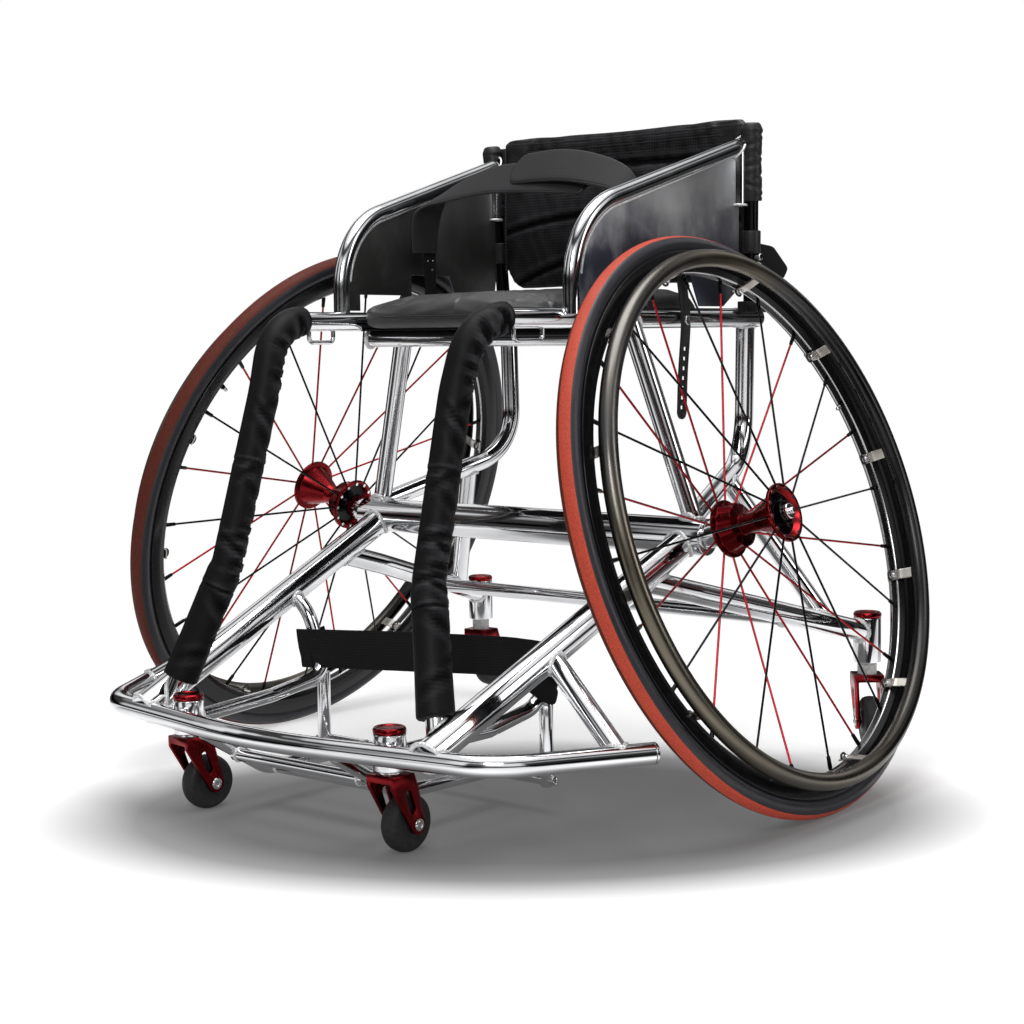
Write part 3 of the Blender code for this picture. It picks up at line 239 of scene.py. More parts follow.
def finished(name, mesh, looks, body, replaces=(), sharp=40):
    """A piece of the chair: its materials, the body that it rides on and the CAD nodes that it stands for."""
    mesh.shade_smooth()
    if sharp:
        mesh.set_sharp_from_angle(angle=math.radians(sharp))
    piece = linked(name, mesh)
    for look in looks if isinstance(looks, (list, tuple)) else [looks]:
        mesh.materials.append(look)
    if replaces:
        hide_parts(*([replaces] if isinstance(replaces, str) else replaces))
    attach(piece, body)
    return piece


def grid_faces(rows, columns, close_rows, close_columns):
    """Quads of a grid of points, wrapped round where it closes, as corner index rows."""
    i = np.arange(rows if close_rows else rows - 1)
    j = np.arange(columns if close_columns else columns - 1)
    i, j = np.meshgrid(i, j, indexing="ij")
    a, b = (i + 1) % rows, (j + 1) % columns
    return np.stack([i * columns + j, i * columns + b, a * columns + b, a * columns + j], -1).reshape(-1, 4)


def grid_mesh(name, points, close_rows=False, close_columns=True, caps=True, uv=None, zone=None):
    """A mesh over a grid of points (rows, columns, 3), with UVs in metres and a material zone for each quad."""
    rows, columns = points.shape[:2]
    quads = grid_faces(rows, columns, close_rows, close_columns)
    verts = points.reshape(-1, 3)
    faces = quads.tolist()
    if caps and close_columns and not close_rows:
        faces += [list(range(columns))[::-1], list(range((rows - 1) * columns, rows * columns))]
    mesh = bpy.data.meshes.new(name)
    mesh.from_pydata(verts.tolist(), [], faces)
    if uv is None:
        down = np.linalg.norm(np.diff(points, axis=0, append=points[:1]), axis=2).mean(1)
        across = np.linalg.norm(np.diff(points, axis=1, append=points[:, :1]), axis=2).mean(0)
        uv = (np.concatenate([[0], np.cumsum(down)]), np.concatenate([[0], np.cumsum(across)]))
    u, v = uv
    layer = mesh.uv_layers.new(name="UVMap")
    i, j = quads[:, 0] // columns, quads[:, 0] % columns
    du = np.stack([i, i, i + 1, i + 1], 1)
    dv = np.stack([j, j + 1, j + 1, j], 1)
    values = np.zeros((len(mesh.loops), 2))
    values[: quads.size] = np.stack([u[du], v[dv]], -1).reshape(-1, 2)
    layer.data.foreach_set("uv", values.ravel())
    if zone is not None:
        index = np.zeros(len(mesh.polygons), int)
        index[: len(quads)] = zone[i, j]
        mesh.polygons.foreach_set("material_index", index)
    return faced_outward(mesh)


def frames_along(route, first=None, closed=False):
    """Two unit vectors across the line at each point, carried along it without twist."""
    ahead = np.roll(route, -1, 0) - np.roll(route, 1, 0)
    if not closed:
        ahead[0], ahead[-1] = route[1] - route[0], route[-1] - route[-2]
    tangent = unit(ahead)
    if first is None:
        first = (0, 0, 1) if abs(tangent[0][2]) < 0.9 else (1, 0, 0)
    guess = vec(first)
    normal = []
    for t in tangent:
        guess = unit(guess - t * (guess @ t))
        normal.append(guess)
    normal = np.array(normal)
    return normal, np.cross(tangent, normal)


def swept(route, radius, sides=40, first=None, closed=False):
    """Grid of a round bar: each point of the route plus the radius times (cosine times the normal plus sine times
    the other vector across). The radius is one number, one for each point, or one for each point and angle."""
    route = np.asarray(route, float)
    normal, across = frames_along(route, first, closed)
    angle = np.arange(sides) * TAU / sides
    if np.ndim(radius) == 1:
        radius = np.asarray(radius, float).reshape(-1, 1)
    r = np.broadcast_to(radius, (len(route), sides))
    ring = np.cos(angle)[None, :, None] * normal[:, None] + np.sin(angle)[None, :, None] * across[:, None]
    return route[:, None] + r[..., None] * ring


def turned(profile, steps, matrix, flute=None):
    """Grid of a profile of (radius, height) turned about local Z: radius times cosine, radius times sine, height.
    flute(angle, row) scales the radius."""
    profile = np.array(profile, float)
    angle = np.arange(steps) * TAU / steps
    r = np.broadcast_to(profile[None, :, 0], (steps, len(profile))).copy()
    if flute:
        r *= flute(angle[:, None], np.arange(len(profile))[None, :])
    z = np.broadcast_to(profile[None, :, 1], r.shape)
    points = np.stack([r * np.cos(angle)[:, None], r * np.sin(angle)[:, None], z], -1)
    return moved(points, matrix)


def lathe(name, profile, matrix, steps=96, closed=False, zone=None, ease=0.0008, flute=None):
    """A turned mesh. An open profile starts and ends on the axis; a closed one makes a ring."""
    line = rounded(profile, ease, 3, closed) if ease else profile
    points = turned(line, steps, matrix, flute)
    centre = None if closed else (points[:, 0].mean(0), points[:, -1].mean(0))
    lengths = steps_along(np.array(line, float))
    v = np.concatenate([[0], np.cumsum(lengths), [lengths.sum() + 0.001]])
    if centre:
        points, v = points[:, 1:-1], v[1:-1]
    u = np.linspace(0, 1, steps + 1) * TAU * max(abs(p[0]) for p in line)
    zones = None
    if zone:
        mid = [(np.array(a) + np.array(b)) / 2 for a, b in zip(line, [*line[1:], line[0]])]
        row = np.array([zone(*m) for m in (mid[1:-1] if centre else mid)])
        zones = np.broadcast_to(row[None, :], (steps, len(row)))
    mesh = grid_mesh(name, points, True, closed, caps=False, uv=(u, v), zone=zones)
    if not centre:
        return mesh

    def close_poles(work):
        """Fans of triangles from each end ring to its point on the axis."""
        columns = points.shape[1]
        for where, column in zip(centre, (0, columns - 1)):
            pole = work.verts.new(where)
            work.verts.ensure_lookup_table()
            for k in range(steps):
                a, b = work.verts[k * columns + column], work.verts[(k + 1) % steps * columns + column]
                work.faces.new((a, b, pole))

    return faced_outward(mesh, close_poles)


def joined(name, meshes):
    """One mesh of several."""
    work = bmesh.new()
    for mesh in meshes:
        work.from_mesh(mesh)
    out = bpy.data.meshes.new(name)
    work.to_mesh(out)
    work.free()
    return out


def plate(name, outline, low, high, matrix, bevel=0.0006, holes=()):
    """A flat outline of (x, y), as thick as from low to high, with eased edges."""
    work = bmesh.new()
    loops = []
    for ring in (outline, *holes):
        verts = [work.verts.new((x, y, low)) for x, y in ring]
        loops += [work.edges.new((verts[k], verts[(k + 1) % len(verts)])) for k in range(len(verts))]
    bmesh.ops.triangle_fill(work, edges=loops, use_beauty=True, use_dissolve=True)
    top = bmesh.ops.extrude_face_region(work, geom=work.faces[:])["geom"]
    bmesh.ops.translate(work, verts=[v for v in top if isinstance(v, bmesh.types.BMVert)], vec=(0, 0, high - low))
    rim = [e for e in work.edges if len(e.link_faces) == 2 and e.calc_face_angle(0) > 1.2]
    if bevel:
        bmesh.ops.recalc_face_normals(work, faces=work.faces)
        bmesh.ops.bevel(work, geom=rim, offset=bevel, segments=2, profile=0.5, affect="EDGES", clamp_overlap=True)
    work.transform(Matrix(np.array(matrix).tolist()))
    if work.calc_volume(signed=True) < 0:
        bmesh.ops.reverse_faces(work, faces=work.faces)
    mesh = bpy.data.meshes.new(name)
    work.to_mesh(mesh)
    work.free()
    return mesh


def shaped(name, mesh, steps, bevel):
    """A mesh after a row of (operation, mesh) Booleans and an eased edge, baked."""
    piece = linked("work", mesh)
    tools = []
    for operation, other in steps:
        tool = linked("tool", other)
        tools.append(tool)
        modifier = piece.modifiers.new(operation, "BOOLEAN")
        modifier.operation, modifier.object, modifier.solver = operation, tool, "EXACT"
    ease = piece.modifiers.new("ease", "BEVEL")
    ease.width, ease.segments, ease.limit_method, ease.angle_limit = bevel, 2, "ANGLE", math.radians(35)
    bpy.context.view_layer.update()
    out = baked(piece)
    out.name = name
    for thing in [piece, *tools]:
        bpy.data.objects.remove(thing)
    out.materials.clear()
    return out


def squarish(value, power):
    """The value's size to the power, with its sign: a circle's coordinates become a rounded box's."""
    return np.sign(value) * np.abs(value) ** power


def band(sections, thickness, across=24, ripple=None):
    """Grid of a flat strap through rows of (centre, half width vector). Each section is a flat superellipse: the
    signed cosine to the power 0.35 along the half width, the signed sine to that power through the thickness."""
    rows = np.array([[*c, *w] for c, w in sections], float)
    centre, half = rows[:, :3], rows[:, 3:]
    ahead = np.gradient(centre, axis=0)
    normal = unit(np.cross(ahead, half))
    turn = np.arange(2 * across) / (2 * across) * TAU
    u, w = squarish(np.cos(turn), 0.35), squarish(np.sin(turn), 0.35)
    points = centre[:, None] + u[None, :, None] * half[:, None] + w[None, :, None] * normal[:, None] * thickness / 2
    s = place_along(centre)
    if ripple is not None:
        points += normal[:, None] * ripple(s[:, None], u[None, :])[..., None]
    width = np.linalg.norm(half, axis=1).mean()
    return points, (np.append(s, s[-1]), np.append(u, u[0]) * width)


# Materials


def shader(name, colour, roughness, metallic=0.0, coat=0.0, specular=0.5):
    """A named material, its node tree and its surface."""
    look = bpy.data.materials.new(name)
    look.use_nodes = True
    tree = look.node_tree
    surface = tree.nodes["Principled BSDF"]
    surface.inputs["Base Color"].default_value = (*colour, 1)
    surface.inputs["Roughness"].default_value = roughness
    surface.inputs["Metallic"].default_value = metallic
    surface.inputs["Coat Weight"].default_value = coat
    surface.inputs["Coat Roughness"].default_value = 0.08
    surface.inputs["Specular IOR Level"].default_value = specular
    return look, tree, surface


def node(tree, kind, links=None, **settings):
    """A shader node with its settings; links maps an input to a socket or a value."""
    made = tree.nodes.new(kind)
    for key, value in settings.items():
        setattr(made, key, value)
    for key, value in (links or {}).items():
        if isinstance(value, bpy.types.NodeSocket):
            tree.links.new(value, made.inputs[key])
        else:
            made.inputs[key].default_value = value
    return made


def place_of(tree, by_uv=False):
    """Where a texture reads its place: the piece's own space, or its UV in metres."""
    return node(tree, "ShaderNodeTexCoord").outputs["UV" if by_uv else "Object"]


def noise(tree, where, scale, detail=3, stretch=(1, 1, 1)):
    """A cloudy value from 0 to 1."""
    spot = node(tree, "ShaderNodeMapping", {"Vector": where, "Scale": stretch})
    links = {"Vector": spot.outputs[0], "Scale": scale, "Detail": detail}
    return node(tree, "ShaderNodeTexNoise", links).outputs["Fac"]


def ramp(tree, value, low, high, out_low, out_high):
    """The value mapped in a straight line from low and high to the two results, and held beyond them."""
    links = {"Value": value, "From Min": low, "From Max": high, "To Min": out_low, "To Max": out_high}
    return node(tree, "ShaderNodeMapRange", links).outputs["Result"]


def reckon(tree, operation, a, b=None):
    """The result of a sum on one or two values."""
    links = {0: a} if b is None else {0: a, 1: b}
    return node(tree, "ShaderNodeMath", links, operation=operation).outputs[0]


def part_of(tree, where, axis):
    """One coordinate of a place."""
    return node(tree, "ShaderNodeSeparateXYZ", {0: where}).outputs[axis]


def times(colour, factor):
    """A colour made lighter or darker, up to white."""
    return tuple(min(1, c * factor) for c in colour)


def mix(tree, factor, a, b, blend="MIX"):
    """Colour a where the factor is 0 and b where it is 1, or with b blended into a as named."""
    made = node(tree, "ShaderNodeMix", data_type="RGBA", blend_type=blend)
    for socket, value in zip((made.inputs["Factor"], made.inputs[6], made.inputs[7]), (factor, a, b)):
        if isinstance(value, bpy.types.NodeSocket):
            tree.links.new(value, socket)
        else:
            socket.default_value = (*value, 1) if isinstance(value, tuple) else value
    return made.outputs[2]


def bump(tree, surface, height, strength, distance):
    """Shades the surface as if it stood up by the height, where 1 is the distance."""
    made = node(tree, "ShaderNodeBump", {"Height": height, "Strength": strength, "Distance": distance})
    tree.links.new(made.outputs["Normal"], surface.inputs["Normal"])


def drift(tree, surface, field, rough, less, more):
    """Lets the roughness follow a cloudy field from rough minus less to rough plus more."""
    tree.links.new(ramp(tree, field, 0.3, 0.7, rough - less, rough + more), surface.inputs["Roughness"])


def metal(name, colour, rough, spread=0.06, scale=35, tint=None, coat=0.0):
    """Metal whose roughness and tone drift a little, as handling leaves them."""
    look, tree, surface = shader(name, colour, rough, 1.0, coat)
    where = place_of(tree)
    drift(tree, surface, noise(tree, where, scale, 4), rough, spread, spread)
    patches = ramp(tree, noise(tree, where, scale * 0.4), 0.35, 0.65, 0, 1)
    tree.links.new(mix(tree, patches, colour, tint or times(colour, 0.86)), surface.inputs["Base Color"])
    return look


def worn_and_shaded_ring(name, colour, tint, dark, rough):
    """Satin metal with random pale patches of wear, and painted shade that darkens it towards the rear of the ring."""
    look, tree, surface = shader(name, colour, rough, 1.0)
    where = place_of(tree)
    tone = mix(tree, ramp(tree, noise(tree, where, 4.4), 0.35, 0.65, 0, 1), colour, tint)
    behind = part_of(tree, where, "Y")
    # Painted shade: the ring darkens towards the rear as Y runs from 0.02 to 0.20 m.
    tone = mix(tree, ramp(tree, behind, 0.02, 0.20, 0, 0.9), tone, dark)
    tree.links.new(tone, surface.inputs["Base Color"])
    drift(tree, surface, noise(tree, where, 11, 4), rough, 0.08, 0.08)
    return look


def painted_fold_light(tree, tone, colour, crest, crest_highlight, groove):
    """Painted highlight and shade: the tone lighter on the crests of the folds and dark in the grooves, as the mesh's
    fold attribute says.
    """
    fold = node(tree, "ShaderNodeAttribute", attribute_name="fold").outputs["Fac"]
    tone = mix(tree, ramp(tree, fold, *crest), tone, times(colour, crest_highlight))
    return mix(tree, ramp(tree, fold, *groove), tone, times(colour, 0.1))


def woven(name, colour, pitch, rough=0.75, strength=0.4, specular=0.22, thread=2.6, by_uv=True, folded=False):
    """Cloth with warp and weft threads, in the piece's own UV in metres, or in object space on a simulated skin."""
    look, tree, surface = shader(name, colour, rough, specular=specular)
    where = place_of(tree, by_uv)
    waves = []
    for direction in ("X", "Y") if by_uv else ("DIAGONAL", "Z"):
        links = {"Vector": where, "Scale": 1 / pitch / 20 * math.pi, "Distortion": 0.6}
        waves.append(node(tree, "ShaderNodeTexWave", links, bands_direction=direction).outputs["Fac"])
    threads = reckon(tree, "MULTIPLY", *waves)
    worn = noise(tree, where, 38, 4)
    tone = mix(tree, threads, colour, times(colour, thread))
    tone = mix(tree, ramp(tree, worn, 0.45, 0.75, 0, 0.4), tone, times(colour, 2.0))
    # Painted highlight on the fold crests and painted shade in the grooves.
    if folded:
        tone = painted_fold_light(tree, tone, colour, (0.05, 0.5, 0, 0.9), 8.0, (-0.05, -0.5, 0, 0.95))
    tree.links.new(tone, surface.inputs["Base Color"])
    bump(tree, surface, threads, strength, 0.0004)
    return look


def mesh_cloth(name, colour, cell):
    """Spacer mesh over an upright pad: threads that catch the light between small dark holes in rows."""
    look, tree, surface = shader(name, colour, 0.8, specular=0.2)
    where = node(tree, "ShaderNodeMapping", {"Vector": place_of(tree), "Scale": (1, 0, 1)}).outputs[0]
    cells = node(tree, "ShaderNodeTexVoronoi", {"Vector": where, "Scale": 1 / cell, "Randomness": 0.12}, feature="F1")
    hole = ramp(tree, cells.outputs["Distance"], 0.15, 0.55, 0, 1)
    tone = mix(tree, hole, times(colour, 0.3), times(colour, 3.2))
    # Painted highlight on the fold crests and painted shade in the grooves.
    tone = painted_fold_light(tree, tone, colour, (0.12, 0.6, 0, 0.7), 4.0, (-0.10, -0.6, 0, 0.95))
    tree.links.new(tone, surface.inputs["Base Color"])
    bump(tree, surface, hole, 0.6, 0.0007)
    return look


def grained(name, colour, rough, scale, strength=0.3, metallic=0.0, spread=0.08, specular=0.4):
    """Rubber, plastic, vinyl or a frosty bead, with a fine grain and drifting gloss."""
    look, tree, surface = shader(name, colour, rough, metallic, specular=specular)
    where = place_of(tree)
    grain = noise(tree, where, scale, 4)
    drift(tree, surface, noise(tree, where, scale * 0.05, 4), rough, spread, spread)
    tone = mix(tree, ramp(tree, grain, 0.3, 0.7, 0, 1), times(colour, 0.75), times(colour, 1.3))
    tree.links.new(tone, surface.inputs["Base Color"])
    bump(tree, surface, grain, strength, 0.0004)
    return look


def brushed_sheet(name, colour, reflection_colour, rough, metallic, specular=0.5):
    """Sheet metal wiped in clouds, with a painted reflection: a darker foot below about 0.63 m, where it mirrors the
    wheel.
    """
    look, tree, surface = shader(name, colour, rough, metallic, specular=specular)
    where = place_of(tree)
    cloud = noise(tree, where, 13, 5, (1, 1.6, 1))
    streak = noise(tree, where, 26, 4, (1, 0.7, 1))
    # Painted reflection of the wheel: below a cloudy edge near 0.63 m, the sheet takes its darker colour.
    reflection_edge = reckon(tree, "ADD", ramp(tree, cloud, 0.3, 0.72, -0.030, 0.030), part_of(tree, where, "Z"))
    tone = mix(tree, ramp(tree, reflection_edge, 0.590, 0.665, 0, 1), reflection_colour, colour)
    tone = mix(tree, ramp(tree, cloud, 0.50, 0.78, 0, 0.5), tone, times(colour, 1.7))
    tree.links.new(tone, surface.inputs["Base Color"])
    drift(tree, surface, streak, rough, 0.07, 0.09)
    return look


POLISHED = metal("polished_aluminium", (0.83, 0.835, 0.85), 0.08, 0.035, scale=22, tint=(0.66, 0.665, 0.68))
WELD = grained("weld_bead", (0.80, 0.80, 0.81), 0.34, 420, 0.8, metallic=0.5, spread=0.1)
# The darker second colour of each face is a painted reflection of the wheel on the sheet's lower part.
SHEET_OUTER = brushed_sheet("brushed_outer_face", (0.37, 0.374, 0.384), (0.060, 0.066, 0.092), 0.36, 0.65)
SHEET_INNER = brushed_sheet("brushed_inner_face", (0.085, 0.084, 0.083), (0.036, 0.035, 0.034), 0.42, 0.5, 0.4)
GUARD_TUBE = metal("guard_tube_aluminium", (0.80, 0.805, 0.82), 0.12, 0.05, scale=25, tint=(0.60, 0.61, 0.63))
RED = metal("red_anodised", (0.27, 0.014, 0.017), 0.24, 0.06, scale=60, tint=(0.14, 0.007, 0.010))
SPOKE_RED = metal("red_spokes", (0.50, 0.020, 0.028), 0.28, 0.05, scale=60)
BLACK_METAL = metal("black_anodised", (0.0085, 0.0085, 0.0095), 0.24, 0.05, scale=60, coat=0.10)
RIM_BLACK = grained("gloss_black_rim", (0.0055, 0.0055, 0.0062), 0.20, 90, 0.03, specular=0.28, spread=0.05)
RIM_EDGE = metal("machined_rim_edge", (0.60, 0.60, 0.61), 0.2, 0.04)
HANDRIM = worn_and_shaded_ring("handrim_satin", (0.105, 0.105, 0.106), (0.165, 0.142, 0.105), (0.030, 0.030, 0.031), 0.30)
STEEL = metal("bright_steel", (0.72, 0.72, 0.73), 0.16, 0.05, scale=90)
TAB_METAL = metal("tab_metal", (0.62, 0.60, 0.55), 0.32, 0.08, scale=120)
# The R entry is a darker copy of the red tread that is painted shade: the whole right tread and the inner flank of both
# treads.
TREADS = {
    "L": grained("red_tread", (0.46, 0.058, 0.030), 0.60, 700, 0.4, specular=0.25),
    "R": grained("painted_shade_red_tread", (0.095, 0.017, 0.009), 0.62, 500, 0.4, specular=0.20),
}
SIDEWALL = grained("dark_sidewall", (0.020, 0.020, 0.025), 0.40, 600, 0.25)
CASTER_RUBBER = grained("caster_rubber", (0.017, 0.017, 0.018), 0.62, 260, 0.25, specular=0.3)
PLASTIC = grained("black_plastic", (0.010, 0.010, 0.011), 0.40, 400, 0.2)
NYLON = grained("pale_nylon", (0.55, 0.55, 0.54), 0.45, 300, 0.1)
VINYL = grained("black_vinyl", (0.038, 0.038, 0.040), 0.42, 1100, 0.35, spread=0.05, specular=0.60)
WEBBING = woven("black_webbing", (0.0062, 0.0062, 0.0068), 0.0016, specular=0.14)
BELT_CLOTH = woven("belt_cloth", (0.0140, 0.0140, 0.0150), 0.0014, specular=0.24)
# Cloth whose folds get painted highlights on the crests and painted shade in the grooves.
PAD_CLOTH = woven(
    "pad_cloth", (0.0046, 0.0046, 0.0051), 0.0009, 0.50, 0.22, thread=1.5, specular=0.12, by_uv=False, folded=True
)
SLEEVE_CLOTH = woven("sleeve_cloth", (0.0090, 0.0090, 0.0098), 0.0009, 0.42, 0.15, thread=1.4, specular=0.35)
SPACER = mesh_cloth("spacer_mesh", (0.0060, 0.0060, 0.0068), 0.0034)
PIPING = grained("black_piping", (0.011, 0.011, 0.012), 0.38, 500, 0.1, specular=0.5)
THREAD = grained("grey_thread", (0.10, 0.10, 0.105), 0.6, 500, 0.1)


# Wheels


def wheel_matrix(side, turn=0.0):
    """A wheel's own space: Z runs outward along the axle, tipped up by the camber, and turn spins the wheel."""
    outward = vec((side * math.cos(CAMBER), 0, math.sin(CAMBER)))
    across = vec((0, side, 0))
    m = Matrix(np.stack([across, np.cross(outward, across), outward], 1).tolist()).to_4x4()
    return Matrix.Translation((side * HUB_X, 0, HUB_Z)) @ m @ Matrix.Rotation(turn, 4, "Z")


def aimed(point, way):
    """A space with its origin at the point and its Z along the way."""
    return Matrix.Translation(point.tolist()) @ Vector(way.tolist()).to_track_quat("Z", "Y").to_matrix().to_4x4()


def pin(radius, low, high):
    """The profile of a round pin."""
    return [(0, low), (radius, low), (radius, high), (0, high)]


def rod(name, a, b, radius, steps, ease):
    """A round pin from a to b with eased ends."""
    a, b = vec(a), vec(b)
    return lathe(name, pin(radius, 0, Vector((b - a).tolist()).length), aimed(a, b - a), steps, ease=ease)


def both_flanks(half, crown=()):
    """A profile that is the same on both flanks of a wheel."""
    return [*half, *crown, *((r, -z) for r, z in reversed(half))]


def tyre_and_rim(letter, matrix):
    """Tyre and rim, each a closed profile of (radius, offset) turned about the axle, and the valve between spokes."""
    body = f"wheel_{letter}"
    half = [
        (0.2966, 0.0086), (0.3010, 0.0092), (0.3045, 0.0112), (0.3085, 0.0124), (0.3125, 0.0116), (0.3160, 0.0092),
        (0.3186, 0.0054),
    ]
    line = smooth_line(both_flanks(half, [(0.3199, 0)]), 6).tolist()

    def zone(r, z):
        """0 for the tread, 1 for the sidewalls, 2 for the inner flank of the tread, which takes the darker tread as
        painted shade.
        """
        if r < 0.3100 or z > 0.0090 or z < -0.0096:
            return 1
        return 2 if z < -0.0030 else 0

    mesh = lathe("tyre", line, matrix, 288, True, zone, ease=0)
    # The third look, the darker tread, paints shade on the inner flanks, and it is also the right tyre's whole tread.
    looks = [TREADS[letter], SIDEWALL, TREADS["R"]]
    finished(f"tyre_dressed_{letter}", mesh, looks, body, f"tyre_{letter}", sharp=0)
    half = [
        (0.2770, 0.0036), (0.2775, 0.0050), (0.2825, 0.0100), (0.2890, 0.0114), (0.3005, 0.0115), (0.3010, 0.0094),
        (0.2960, 0.0090),
    ]
    mesh = lathe("rim", both_flanks(half), matrix, 288, True, lambda r, z: int(r < 0.2783 and abs(z) > 0.0034), 0.0006)
    finished(f"rim_dressed_{letter}", mesh, [RIM_BLACK, RIM_EDGE], body, f"rim_{letter}", sharp=0)
    profile = [
        (0, 0.262), (0.0014, 0.262), (0.0022, 0.2635), (0.0022, 0.2690), (0.0030, 0.2695), (0.0030, 0.2725),
        (0.0023, 0.2730), (0.0023, 0.2790), (0, 0.2790),
    ]
    outward = matrix @ Matrix.Rotation(VALVE_ANGLE, 4, "Z") @ QUARTER_TURN
    stem = lathe("valve", profile, outward, 24, zone=lambda r, z: int(z >= 0.2692))
    finished(f"valve_{letter}", stem, [STEEL, BLACK_METAL], body)


def bar(route, radius, sides):
    """A short round bar through a few points, with a radius at each."""
    route = np.array([vec(p) for p in route])
    radius = np.broadcast_to(radius, len(route)).astype(float)
    return grid_mesh("bar", swept(route, radius, sides))


def hub(side, letter, matrix):
    """The hub, a closed profile turned about the axle whose barrel is fluted: its radius shrinks by 0.085 times the
    size of the sine of six times the angle. Round it stand 12 straight spokes on each flange."""
    body = f"wheel_{letter}"
    rim, inner = FLANGE_OFFSET + FLANGE_THICKNESS / 2, FLANGE_OFFSET - FLANGE_THICKNESS / 2
    dish = rim - 0.007
    lip = 0.0275
    profile = [
        (0.0072, -dish), (0.0245, -dish), (lip, -rim), (FLANGE_RADIUS, -rim), (FLANGE_RADIUS, -inner),
        (0.0285, -inner), (0.0245, -0.0175), (0.0115, -0.0160), (0.0112, -0.003), (0.0125, 0.004),
        (0.0260, inner), (FLANGE_RADIUS, inner), (FLANGE_RADIUS, rim), (lip, rim), (0.0245, dish),
        (0.0125, dish), (0.0125, rim + 0.001), (0.0072, rim + 0.001),
    ]

    def zone(r, z):
        """1 for the dark bearing faces inside the flanges."""
        return int(r < 0.0246 and abs(z) > dish - 0.0005)

    def flute(angle, row):
        """The share of the radius that is left, over the rows of the barrel."""
        return 1 - 0.085 * np.abs(np.sin(6 * angle)) * ((row > 17) & (row < 27))

    mesh = lathe("hub", profile, matrix, 192, True, zone, 0.0007, flute)
    finished(f"hub_dressed_{letter}", mesh, [RED, BLACK_METAL], body, f"hub_{letter}")
    groups = {"red": [], "black": [], "nipples": [], "heads": []}
    for offset, first in ((FLANGE_OFFSET, 3.5), (-FLANGE_OFFSET, 18.5)):
        colour = "black" if (offset > 0) == (side > 0) else "red"
        for k in range(12):
            a = math.radians(first + 30 * k)
            out = vec((math.cos(a), math.sin(a), 0))
            start, end = out * (FLANGE_RADIUS - 0.004) + (0, 0, offset), out * 0.2762
            way = unit(end - start)
            groups[colour].append(bar([start, end - way * 0.010], 0.00125, 10))
            nipple = [end - way * back for back in (0.0150, 0.0140, 0.003, 0)]
            groups["nipples"].append(bar(nipple, [0.0014, 0.0021, 0.0024, 0.0020], 12))
            head = start + (0, 0, math.copysign(0.0022, offset))
            groups["heads"].append(bar([head - (0, 0, 0.0006), head + (0, 0, 0.0006)], 0.0021, 10))
    looks = {"red": SPOKE_RED, "black": BLACK_METAL, "nipples": BLACK_METAL, "heads": STEEL}
    for key, meshes in groups.items():
        mesh = joined(f"spoke_{key}", meshes)
        mesh.transform(matrix)
        finished(f"spoke_{key}_{letter}", mesh, looks[key], body)


def handrim(letter, matrix):
    """The handrim with its 12 bent tabs, bolts and keepers. Its profile is a circle turned about the axle: the
    ring's radius plus the tube's times the cosine, and the offset plus the tube's times the sine."""
    body = f"wheel_{letter}"
    profile = [
        (HANDRIM_RADIUS + HANDRIM_TUBE * math.cos(a), HANDRIM_OFFSET + HANDRIM_TUBE * math.sin(a))
        for a in np.arange(28) * TAU / 28
    ]
    mesh = lathe("handrim", profile, matrix, 256, True, ease=0)
    finished(f"handrim_dressed_{letter}", mesh, HANDRIM, body, f"handrim_{letter}", sharp=0)
    tabs, bolts, loops = [], [], []
    strip = rounded([(0.2795, 0.0262), (0.2758, 0.0130), (0.2744, 0.0095), (0.2744, -0.0055)], 0.003, 4)
    points, uv = band([(vec((r, 0, z)), vec((0, 0.006, 0))) for r, z in strip], 0.0020, 8)
    corners = [(0.2748, -0.0048), (0.2690, -0.0048), (0.2690, 0.0048), (0.2748, 0.0048)]
    keeper = fillet([(x, y, -0.0015) for x, y in corners], [0.004, 0.004], 0.3)
    head = [(0, 0), (0.0034, 0), (0.0034, 0.0012), (0.0022, 0.0026), (0, 0.0029)]
    seat_of_bolt, inward = Matrix.Translation((0.2736, 0, 0.0015)), Matrix.Rotation(-math.pi / 2, 4, "Y")
    for k in range(12):
        turn = Matrix.Rotation(math.radians(11 + 30 * k), 4, "Z")
        tab, loop = grid_mesh("tab", points, uv=uv), grid_mesh("loop", swept(keeper, 0.0013, 8))
        for group, mesh in ((tabs, tab), (loops, loop)):
            mesh.transform(turn)
            group.append(mesh)
        bolts.append(lathe("head", head, turn @ seat_of_bolt @ inward, 16, ease=0.0004))
    for name, meshes, look in (
        ("handrim_tabs", tabs, TAB_METAL),
        ("handrim_bolts", bolts, STEEL),
        ("handrim_loops", loops, PLASTIC),
    ):
        mesh = joined(name, meshes)
        mesh.transform(matrix)
        finished(f"{name}_{letter}", mesh, look, body)


def axle(letter, matrix):
    """The quick-release axle and its push button, turned profiles of (radius, place along the axle)."""
    profile = [
        (0, -0.075), (0.0054, -0.075), (0.00635, -0.074), (0.00635, 0.0395), (0.0085, 0.0395), (0.0085, 0.0437),
        (0.0078, 0.0445), (0.0040, 0.0445), (0.0040, 0.0330), (0, 0.0330),
    ]
    mesh = lathe("axle", profile, matrix, 48, ease=0.0003)
    finished(f"axle_dressed_{letter}", mesh, STEEL, "frame", f"axle_{letter}")
    button = f"axle_button_{letter}"
    profile = [(0, 0.0385), (0.0035, 0.0385), (0.0035, 0.0475), (0.0028, 0.0485), (0, 0.0485)]
    mesh = lathe("button", profile, matrix, 32, ease=0.0004)
    finished(f"axle_button_dressed_{letter}", mesh, STEEL, button, button)


# Casters


def sideways():
    """A space whose X and Y are the chair's Y and Z, for outlines seen from the side."""
    return Matrix(((0, 0, 1, 0), (1, 0, 0, 0), (0, 1, 0, 0), (0, 0, 0, 1)))


